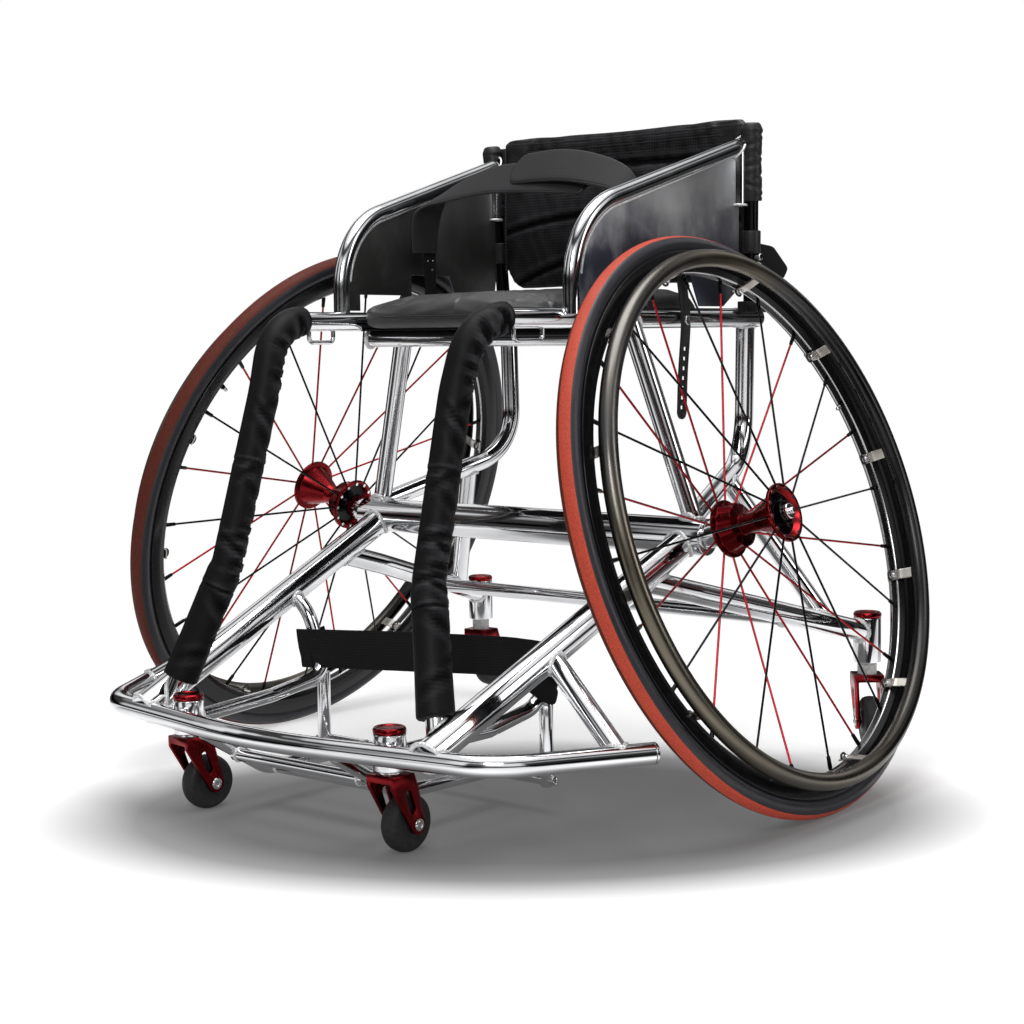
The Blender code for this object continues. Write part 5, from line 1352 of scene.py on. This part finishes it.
def back_panel():
    """The back upholstery: a slab that bulges forward between the posts, blown up as cloth between its sewn
    creases, with the creases carved in after."""
    bottom = 0.566
    creases = [(0.7165, 0.10), (0.6575, 0.60), (0.6050, 1.28)]

    def from_creases(points):
        """How high each point stands over each crease, a parabola that sags to the sides."""
        return [points[:, 2] - (height - sag * points[:, 0] ** 2) for height, sag in creases]

    def spot(u, v, depth):
        """The point at a share of the half width and height. It bulges forward by 18 mm times a cosine."""
        x = 0.184 * u
        z = bottom + (back_height(x) - bottom) * (v + 1) / 2
        tuck = np.clip((bottom + 0.045 - z) / 0.045, 0, 1) ** 2
        bulge = 0.018 * np.maximum(0, np.cos(math.pi / 2 * (v + 0.45) / 0.75))
        return np.stack([x * (1 - 0.11 * tuck), 0.196 + (0.012 - bulge) * (1 - u * u) + depth, z], -1)

    def front(u, v):
        """The front skin, thicker over the top roll."""
        roll = 0.003 * np.clip((v - 0.5) / 0.1, 0, 1)
        return spot(u, v, -0.001 - (0.006 + roll) * edge_fall(u, v, 10))

    def rear(u, v):
        """The rear skin."""
        return spot(u, v, 0.001 + 0.004 * edge_fall(u, v, 10))

    def held(points):
        """The sides and the creases."""
        sewn = np.abs(points[:, 0]) > 0.172
        for away in from_creases(points):
            sewn |= np.abs(away) < 0.0026
        return sewn

    def creased(points, normals):
        """Creases, small rucks and the ribs of the top roll, on what faces forward."""
        x, _, z = points.T
        move = 0.0
        for away in from_creases(points):
            move = move + 0.0036 * valley(away, 0.0052)
        ruck = 0.0009 * np.sin(150 * x + 60 * z) * np.sin(90 * z + 4 * np.sin(50 * x))
        ribs = 0.0005 * np.sin(z * TAU / 0.0052) * (z > 0.7165)
        facing = np.clip((-normals[:, 1] - 0.5) / 0.3, 0, 1)
        return (move + ruck + ribs) * facing

    mesh = carved(puffed("panel", slab("panel", front, rear, 96, 120), 0.0045, 0.0085, held), creased)
    looks = [SPACER, SLEEVE_CLOTH]
    piece = finished("back_upholstery_dressed", mesh, looks, "frame", "back_upholstery", sharp=0)
    x, _, z = np.abs(rows_of(mesh.polygons, "center")).T
    give_slots(mesh, (x > 0.178 - 1.05 * np.maximum(0, z - 0.712)) & (z > 0.712))


def post_sleeve(side, letter):
    """The cloth sleeve over a post's top: the radius is 12.3 mm plus a slow sine and its folds, drawn in at both
    ends, and a flat flap joins it to the back panel."""
    step = 0.0008
    route = resampled(np.array([on_post(side, 0.660), on_post(side, 0.750)]), step)
    s = (np.arange(len(route)) * step)[:, None]
    angle = np.arange(64)[None, :] * TAU / 64
    rows = [
        (0.006, 1.0, 0.0030, 2.0, 0.0010, 0.0010), (0.017, 5.6, 0.0034, 1.2, 0.0013, -0.003),
        (0.029, 0.4, 0.0030, 1.1, 0.0012, 0.004), (0.041, 5.2, 0.0036, 1.5, 0.0015, 0.002),
        (0.053, 0.2, 0.0030, 1.0, 0.0011, -0.004), (0.064, 4.8, 0.0036, 1.6, 0.0014, 0.003),
        (0.076, 0.8, 0.0030, 1.4, 0.0012, -0.002),
    ]
    top = np.minimum(1, 0.60 + 0.40 * np.sqrt(np.clip((s[-1] - s) / 0.008, 0, 1)))
    drawn_in = top * np.minimum(1, 0.93 + s / 0.004 * 0.07)
    radius = (0.0123 + 0.0006 * np.sin(70 * s + 1.5) + folds(s, angle, rows)) * drawn_in
    sleeve = grid_mesh("sleeve", swept(route, radius, 64, (1, 0, 0)))
    outline = [(side * 0.178, 0.590), (side * 0.1905, 0.590), (side * 0.1960, 0.747), (side * 0.178, 0.747)]
    upright = Matrix(((1, 0, 0, 0), (0, 0, -1, 0), (0, 1, 0, 0), (0, 0, 0, 1)))
    flap = plate("flap", outline, -0.1945, -0.1905, upright, 0.0010)
    finished(f"post_sleeve_{letter}", joined("sleeve", [sleeve, flap]), SLEEVE_CLOTH, "frame", sharp=0)


def backrest():
    """The back panel, its stitches, the post sleeves and the strap tail behind."""
    back_panel()
    for side, letter in SIDES:
        stitches([(side * 0.1745, 0.1845, z) for z in np.linspace(0.702, 0.585, 12)], f"back_stitches_{letter}")
        post_sleeve(side, letter)
    tail = [
        (0.1970, 0.6120), (0.2293, 0.6131), (0.2639, 0.6102), (0.2995, 0.5846), (0.2873, 0.5703), (0.2364, 0.5906),
        (0.1970, 0.5910),
    ]
    mesh = plate("tail", rounded(tail, 0.006, 4, True), 0.1740, 0.1788, sideways(), 0.0014)
    finished("back_strap_tail", mesh, WEBBING, "frame")


def lap_belt():
    """Two padded straps that meet over the seat, the left one on top, on narrow webbing legs. Their lines run
    smoothly through rows of (centre, direction across, half width)."""
    over, crossing = (0, 0.70, 0.70), (0, 0.65, 0.76)
    far = [
        ((-0.1550, 0.003, 0.606), (0, 1, 0.02), 0.0205),
        ((-0.1545, 0.003, 0.632), (0, 1, 0), 0.0225),
        ((-0.1500, 0.005, 0.655), (0.05, 0.98, 0.15), 0.0235),
        ((-0.1370, 0.009, 0.671), (0.08, 0.90, 0.40), 0.0235),
        ((-0.1100, 0.016, 0.6815), (0.05, 0.80, 0.60), 0.0235),
        ((-0.0650, 0.0235, 0.6905), over, 0.0235),
        ((-0.0200, 0.0265, 0.6905), crossing, 0.0225),
        ((0.0350, 0.0265, 0.6865), crossing, 0.0220),
        ((0.0800, 0.0240, 0.6810), crossing, 0.0200),
    ]
    near = [
        ((0.1550, 0.003, 0.560), (0, 1, 0), 0.0225),
        ((0.1545, 0.003, 0.632), (0, 1, 0), 0.0235),
        ((0.1500, 0.005, 0.655), (-0.05, 0.98, 0.15), 0.024),
        ((0.1370, 0.010, 0.674), (-0.08, 0.90, 0.40), 0.024),
        ((0.1100, 0.018, 0.6865), (-0.05, 0.80, 0.60), 0.024),
        ((0.0600, 0.026, 0.6985), over, 0.024),
        ((0.0150, 0.030, 0.7025), crossing, 0.0240),
        ((-0.0370, 0.0315, 0.7010), crossing, 0.0225),
    ]
    padded_strap("lap_belt_far", far, 0.0058, 0.010)
    padded_strap("lap_belt_near", near, 0.0062, 0.012)
    for side, letter in SIDES:
        leg = [(vec((side * 0.1562, 0.0145, z)), vec((0, 0.0098, 0))) for z in np.linspace(0.5195, 0.640, 16)]
        points, uv = band(leg, 0.0022, 14)
        piece = finished(f"belt_leg_{letter}", grid_mesh("leg", points, uv=uv), WEBBING, "frame", sharp=50)
        x = side * 0.1562
        rivets = [
            rod("rivet", (x - 0.0020, y, z), (x + 0.0022, y, z), 0.0016, 14, 0.0005)
            for y, z in ((0.0095, 0.5975), (0.0185, 0.5978), (0.0175, 0.5868))
        ]
        finished(f"belt_rivets_{letter}", joined("rivets", rivets), STEEL, "frame")


def calf_strap():
    """The strap round both foot hangers: a band through points that lie one wrap out from each hanger's axis at the
    listed (angle, height), and through the sagging middle of its free run."""
    wrap, across = 0.0098, 0.0225
    far = [(a, 0.1465) for a in range(75, 271, 15)]
    near = [(270, 0.164), (300, 0.162), (330, 0.158), (360, 0.153), (390, 0.149), (420, 0.147)]
    rows = []
    for side, turns in ((-1, far), (1, near)):
        high, low = mirrored([HANGER_UPPER, HANGER_BEND], side)
        lean = unit(high - low)
        tilt = unit(lean + vec((0, 0, 1))) if side < 0 else lean
        for angle, height in turns:
            centre = low + lean * ((height - low[2]) / lean[2])
            a = math.radians(angle)
            offset = vec((math.cos(a), math.sin(a), 0))
            offset -= lean * (offset @ lean)
            out = wrap + (0.0012 if side < 0 else 0)
            rows.append(np.concatenate([centre + unit(offset) * out, tilt * across]))
        if side < 0:
            last = rows[-1]
    middle = (rows[len(far)] - last) * 0.78 + last
    middle[2] += 0.0045
    rows = smooth_line(rows[: len(far)] + [middle] + rows[len(far) :], 10)

    def sag(s, u):
        """A slow ripple along the strap and a fine one across it."""
        return 0.0009 * np.sin(s * 38) * np.sin(u * 2.2 + s * 11) + 0.0005 * np.sin(s * 160 + u * 3)

    points, uv = band([(r[:3], unit(r[3:]) * across) for r in rows], 0.0022, 24, sag)
    mesh = grid_mesh("calf", points, uv=uv)
    piece = finished("calf_strap_dressed", mesh, WEBBING, "frame", "calf_strap", sharp=50)
    length = float(steps_along(rows[:, :3]).sum())
    end = [
        (-0.2216, 0.1397), (-0.1996, 0.1500), (-0.1860, 0.1480), (-0.1708, 0.1318), (-0.1761, 0.1187),
        (-0.1847, 0.1191), (-0.2017, 0.1271),
    ]
    mesh = plate("strap_end", rounded(end, 0.004, 3, True), 0.1762, 0.1790, sideways(), 0.0008)
    finished("calf_strap_end", mesh, WEBBING, "frame")


def leg_pad(side, letter):
    """A padded sleeve: a round skin along the tube, blown up as cloth between its sewn rings and folded at the
    bends. Its radius is 17.2 mm, and 1.6 mm more below the cuff, and it widens by 0.8 mm over the last 50 mm."""
    step, cuff = 0.0012, 0.312
    start = at_y(RAIL_FRONT, RAIL_REAR, -0.215)
    foot = along(LEG_KINK, LEG_END, 0.86)
    route = resampled(fillet(mirrored([start, RAIL_FRONT, LEG_UPPER, LEG_KINK, foot], side), LEG_BENDS), step)
    length = (len(route) - 1) * step
    s = (np.arange(len(route)) * step)[:, None]
    below, last = np.clip((s - cuff) / 0.004, 0, 1), np.clip((s - length + 0.05) / 0.05, 0, 1)
    radius = 0.0172 + 0.0016 * below + 0.0008 * last + np.zeros((1, 64))
    mesh = grid_mesh("pad", swept(route, radius, 64, (1, 0, 0)))
    normal, across = frames_along(route, (1, 0, 0))

    def spot(points):
        """How far along the tube each point lies, and its angle round it."""
        place, turn = np.zeros(len(points)), np.zeros(len(points))
        for k in range(0, len(points), 4000):
            part = points[k : k + 4000]
            gap = np.linalg.norm(part[:, None] - route[None, ::3], axis=2)
            i = gap.argmin(1) * 3
            away = part - route[i]
            place[k : k + 4000] = i * step
            turn[k : k + 4000] = np.arctan2((away * across[i]).sum(1), (away * normal[i]).sum(1))
        return place, turn

    deep, knee_deep = (0.0036, 0.0026) if side > 0 else (0.0020, 0.0018)
    bend, knee = [], []
    for k in range(8):
        at, reach, spread = 0.010 + 0.0125 * k, 0.0054 + 0.0010 * (k % 2), 0.80 + 0.20 * math.cos(1.7 * k)
        angle = math.radians(-38 + 22 * math.sin(2.3 * k + side))
        bend.append((at, angle, reach, spread, deep, 0.007 * math.cos(2.9 * k)))
    for k in range(5):
        angle = math.radians(35 * math.sin(1.9 * k + 2 * side))
        slant = 0.008 * math.cos(2.1 * k + side)
        knee.append((0.262 + 0.0135 * k, angle, 0.0052, 0.95 + 0.3 * math.sin(k), knee_deep, slant))
    tuck = [(0.196, 0.0, 0.0026, 6.0, 0.0016, 0.0), (0.334, 0.0, 0.0026, 6.0, 0.0012, 0.001)]
    soft = [
        (0.115, -0.6, 0.008, 1.0, 0.0014, 0.016), (0.140, 0.5, 0.006, 0.8, 0.0011, -0.012),
        (0.172, -0.2, 0.009, 1.2, 0.0012, -0.014), (0.205, 0.7, 0.006, 0.8, 0.0013, 0.010),
        (0.232, -0.4, 0.007, 1.0, 0.0015, -0.012), (0.352, 0.2, 0.008, 1.2, 0.0014, -0.012),
        (0.385, -0.5, 0.006, 0.8, 0.0011, 0.012), (0.410, 0.6, 0.007, 1.0, 0.0013, 0.009),
    ]

    def held(points):
        """The ends, the cuff and the bottoms of the deep folds."""
        place, turn = spot(points)
        rings = np.abs(place - cuff) < 0.0025
        for at, centre, _, spread, _, slant in bend + knee:
            away = np.angle(np.exp(1j * (turn - centre)))
            rings |= (np.abs(place - at - slant * away) < 0.0022) & (np.abs(away) < spread * 0.8)
        return rings | (place < 0.003) | (place > length - 0.003)

    def creased(points, _):
        """Every fold, and the ridge of the long seam, away from the ends."""
        place, turn = spot(points)
        seam = 0.0009 * np.exp(-(((turn + 1.25) / 0.10) ** 2))
        inside = (place > 0.004) & (place < length - 0.004)
        return (folds(place, turn, bend + knee + tuck + soft) + seam) * inside

    mesh = carved(puffed("pad", mesh, 0.0028, 0.0024, held), creased)
    piece = finished(f"leg_pad_{letter}_dressed", mesh, PAD_CLOTH, "frame", f"leg_pad_{letter}", sharp=0)


def ladder_strap():
    """The slotted strap that hangs from its bolt: a flat outline 17 mm wide round a bent centre line, with a round
    tip and seven slots that follow its lean."""
    y, z, half = 0.060, 0.521, 0.0085
    x = at_y(RAIL_FRONT, RAIL_REAR, y)[0] + RAIL_RADIUS + GAP + 0.0022
    centre = smooth_line([(-0.0110, 0.058), (-0.003, 0.02), (0, -0.005), (-0.006, -0.060), (-0.0085, -0.107)], 6)
    end_y, end_z = centre[-1]
    tip = [(end_y + half * math.cos(a), end_z + half * math.sin(a) + 0.004) for a in np.linspace(math.pi, TAU, 9)]
    outline = [(a - half, b) for a, b in centre[:-1]] + tip + [(a + half, b) for a, b in centre[:-1][::-1]]
    slots = []
    for k in range(7):
        low = -0.030 - 0.011 * k
        drift = 0.10 * (low + 0.005)
        front, rear = drift - 0.003, drift + 0.003
        slots.append([(front, low), (rear, low), (rear, low - 0.004), (front, low - 0.004)])
    place = Matrix.Translation((x, y, z)) @ sideways()
    mesh = plate("ladder", outline, -0.0012, 0.0012, place, 0.0003, slots)
    finished("ladder_strap_L_dressed", mesh, PLASTIC, "ladder_strap_L", "ladder_strap_L")
    bolt = rod("bolt", (x, y, z), (x + 0.004, y, z), 0.0055, 32, 0.001)
    finished("ladder_bolt_L", bolt, STEEL, "ladder_strap_L")


# Camera, light and floor


def camera():
    """The camera that was fitted to the photo, with its small roll, as a 36 mm sensor of 1024 pixels."""
    eye, target = Vector((1.36282, -1.70924, 0.50504)), Vector((0, -0.025, 0.301))
    focal_pixels, pixels, roll = 1864.63, 1024, math.radians(-0.64)
    ahead = (target - eye).normalized()
    right = ahead.cross(Vector((0, 0, 1))).normalized()
    up = right.cross(ahead)
    right, up = math.cos(roll) * right + math.sin(roll) * up, -math.sin(roll) * right + math.cos(roll) * up
    data = bpy.data.cameras.new("photo_camera")
    data.sensor_width, data.lens = 36, 36 * focal_pixels / pixels
    data.dof.use_dof = False
    made = linked("photo_camera", data)
    made.matrix_world = Matrix.Translation(eye) @ Matrix((right, up, -ahead)).transposed().to_4x4()
    bpy.context.scene.camera = made
    bpy.context.scene.render.resolution_x = bpy.context.scene.render.resolution_y = pixels


def lamp(name, where, target, size, power, size_y=None):
    """A rectangular lamp that looks at its target."""
    data = bpy.data.lights.new(name, "AREA")
    data.shape, data.size, data.size_y = "RECTANGLE", size, size_y or size
    data.energy = power
    made = linked(name, data)
    made.location = where
    made.rotation_euler = (Vector(target) - Vector(where)).to_track_quat("-Z", "Y").to_euler()


def stops(tree, value, rows):
    """A brightness that runs through the given (place, level) rows."""
    made = node(tree, "ShaderNodeValToRGB", {"Fac": value})
    points = made.color_ramp.elements
    while len(points) < len(rows):
        points.new(0.5)
    for point, (place, level) in zip(points, rows):
        point.position, point.color = place, (level, level, level, 1)
    return made.outputs["Color"]


def flagged(tree, where):
    """How bright the studio's walls are round the compass: white, with the dark flags that give metal its contrast."""
    heading = reckon(tree, "ARCTAN2", part_of(tree, where, "Y"), part_of(tree, where, "X"))
    rows = [
        (0.0, 0.04), (0.03, 0.05), (0.05, 0.9), (0.085, 1.0), (0.10, 0.05), (0.165, 0.04), (0.19, 0.9), (0.235, 1.0),
        (0.25, 0.06), (0.30, 0.10), (0.32, 0.8), (0.375, 1.0), (0.42, 1.0), (0.44, 0.03), (0.52, 0.03), (0.54, 0.5),
        (0.60, 1.0), (0.615, 0.04), (0.70, 0.05), (0.715, 0.9), (0.755, 1.0), (0.77, 0.15), (0.85, 0.10),
        (0.865, 1.0), (0.925, 1.0), (0.94, 0.04), (1.0, 0.04),
    ]
    return stops(tree, ramp(tree, heading, -math.pi, math.pi, 0, 1), rows)


def studio():
    """A white room. Metal alone sees its dark flags and its bright and dark heights, and the lamps do the rest."""
    world = bpy.data.worlds.new("studio")
    bpy.context.scene.world = world
    world.use_nodes = True
    tree = world.node_tree
    tree.nodes.clear()
    where = node(tree, "ShaderNodeTexCoord").outputs["Generated"]
    up = part_of(tree, where, "Z")
    heights = [
        (0.0, 0.30), (0.49, 0.45), (0.51, 0.012), (0.575, 0.02), (0.62, 0.85), (0.70, 1.0), (0.80, 0.90),
        (0.835, 0.06), (0.875, 0.05), (0.91, 1.0), (1.0, 1.0),
    ]
    level = reckon(tree, "ABSOLUTE", up)
    across = mix(tree, ramp(tree, level, 0.45, 0.75, 1, 0), (1.0, 1.0, 1.0), flagged(tree, where))
    both = mix(tree, 1.0, stops(tree, ramp(tree, up, -1, 1, 0, 1), heights), across, "MULTIPLY")
    rays = node(tree, "ShaderNodeLightPath").outputs
    lit = node(tree, "ShaderNodeBackground", {"Strength": 0.40, "Color": (1, 1, 1, 1)}).outputs[0]
    shine = node(tree, "ShaderNodeBackground", {"Strength": 1.0, "Color": both}).outputs[0]
    seen = node(tree, "ShaderNodeBackground", {"Strength": 1.0, "Color": (1, 1, 1, 1)}).outputs[0]
    room = node(tree, "ShaderNodeMixShader", {0: rays["Is Glossy Ray"], 1: lit, 2: shine}).outputs[0]
    shown = node(tree, "ShaderNodeMixShader", {0: rays["Is Camera Ray"], 1: room, 2: seen}).outputs[0]
    node(tree, "ShaderNodeOutputWorld", {"Surface": shown})
    lamp("overhead", (0.1, -0.1, 2.4), (0, 0, 0.3), 1.6, 34)
    lamp("key", (1.3, -2.2, 1.7), (0, 0, 0.35), 0.8, 20)
    lamp("side", (2.2, 0.6, 1.2), (0.2, 0, 0.3), 0.5, 9, 1.6)


def floor():
    """A white floor with a painted soft grey pool of shadow under the chair, which fades into the white backdrop."""
    mesh, size = bpy.data.meshes.new("floor"), 12
    mesh.from_pydata([(-size, -size, 0), (size, -size, 0), (size, size, 0), (-size, size, 0)], [], [(0, 1, 2, 3)])
    ground = linked("floor", mesh)
    look = bpy.data.materials.new("floor")
    look.use_nodes = True
    tree = look.node_tree
    tree.nodes.clear()
    where = place_of(tree)
    # Painted shadow: a soft grey ellipse under the chair, darkest in its middle, in both the floor's colour and its
    # glow.
    turned = {"Rotation": (0, 0, math.radians(39)), "Scale": (0.485, 0.315, 1)}
    links = {"Vector": where, "Location": (0.13, -0.185, 0), **turned}
    spot = node(tree, "ShaderNodeMapping", links, vector_type="TEXTURE").outputs[0]
    away = node(tree, "ShaderNodeVectorMath", {0: spot}, operation="LENGTH").outputs["Value"]
    rows = [(0.0, 0.165), (0.50, 0.175), (0.64, 0.30), (0.77, 0.72), (0.86, 1.0), (1.0, 1.0)]
    painted_shadow = stops(tree, ramp(tree, away, 0, 1.3, 0, 1), rows)
    out = node(tree, "ShaderNodeVectorMath", {0: where}, operation="LENGTH").outputs["Value"]
    edge = ramp(tree, out, 0.55, 1.15, 0, 1)
    rays = node(tree, "ShaderNodeLightPath").outputs
    matt = node(tree, "ShaderNodeBsdfDiffuse", {"Color": (0.80, 0.80, 0.80, 1)}).outputs[0]
    shaded = mix(tree, 1.0, (0.80, 0.80, 0.80), painted_shadow, "MULTIPLY")
    grey = node(tree, "ShaderNodeBsdfDiffuse", {"Color": shaded}).outputs[0]
    glow = node(tree, "ShaderNodeEmission", {"Color": painted_shadow, "Strength": 0.42}).outputs[0]
    backdrop = mix(tree, rays["Is Camera Ray"], flagged(tree, where), (1.0, 1.0, 1.0))
    white = node(tree, "ShaderNodeEmission", {"Color": backdrop, "Strength": 1.0}).outputs[0]
    added = node(tree, "ShaderNodeAddShader", {0: grey, 1: glow}).outputs[0]
    faded = node(tree, "ShaderNodeMixShader", {0: edge, 1: added, 2: white}).outputs[0]
    shown = reckon(tree, "MAXIMUM", rays["Is Camera Ray"], rays["Is Glossy Ray"])
    seen = node(tree, "ShaderNodeMixShader", {0: shown, 1: matt, 2: faded}).outputs[0]
    node(tree, "ShaderNodeOutputMaterial", {"Surface": seen})
    mesh.materials.append(look)


camera()
studio()
floor()
for side, letter in SIDES:
    matrix = wheel_matrix(side, RIGHT_WHEEL_TURN if side < 0 else 0.0)
    tyre_and_rim(letter, matrix)
    hub(side, letter, matrix)
    handrim(letter, matrix)
    axle(letter, wheel_matrix(side))
    front_turn, rear_turn = (0.0, math.radians(219)) if side > 0 else (math.radians(-7), 0.0)
    caster("front", side, letter, FRONT_CASTER, (0.012, 0.0027), FRONT_HOUSING[1], front_turn)
    caster("rear", side, letter, REAR_CASTER, (0.0115, 0.0137), REAR_HOUSING[1], rear_turn)
    side_guard(side, letter)
    back_post(side, letter)
    leg_pad(side, letter)
frame_pieces()
footrest()
seat_sling()
cushion()
backrest()
lap_belt()
calf_strap()
ladder_strap()

scene = bpy.context.scene
scene.view_settings.view_transform = "Standard"
bpy.context.view_layer.update()
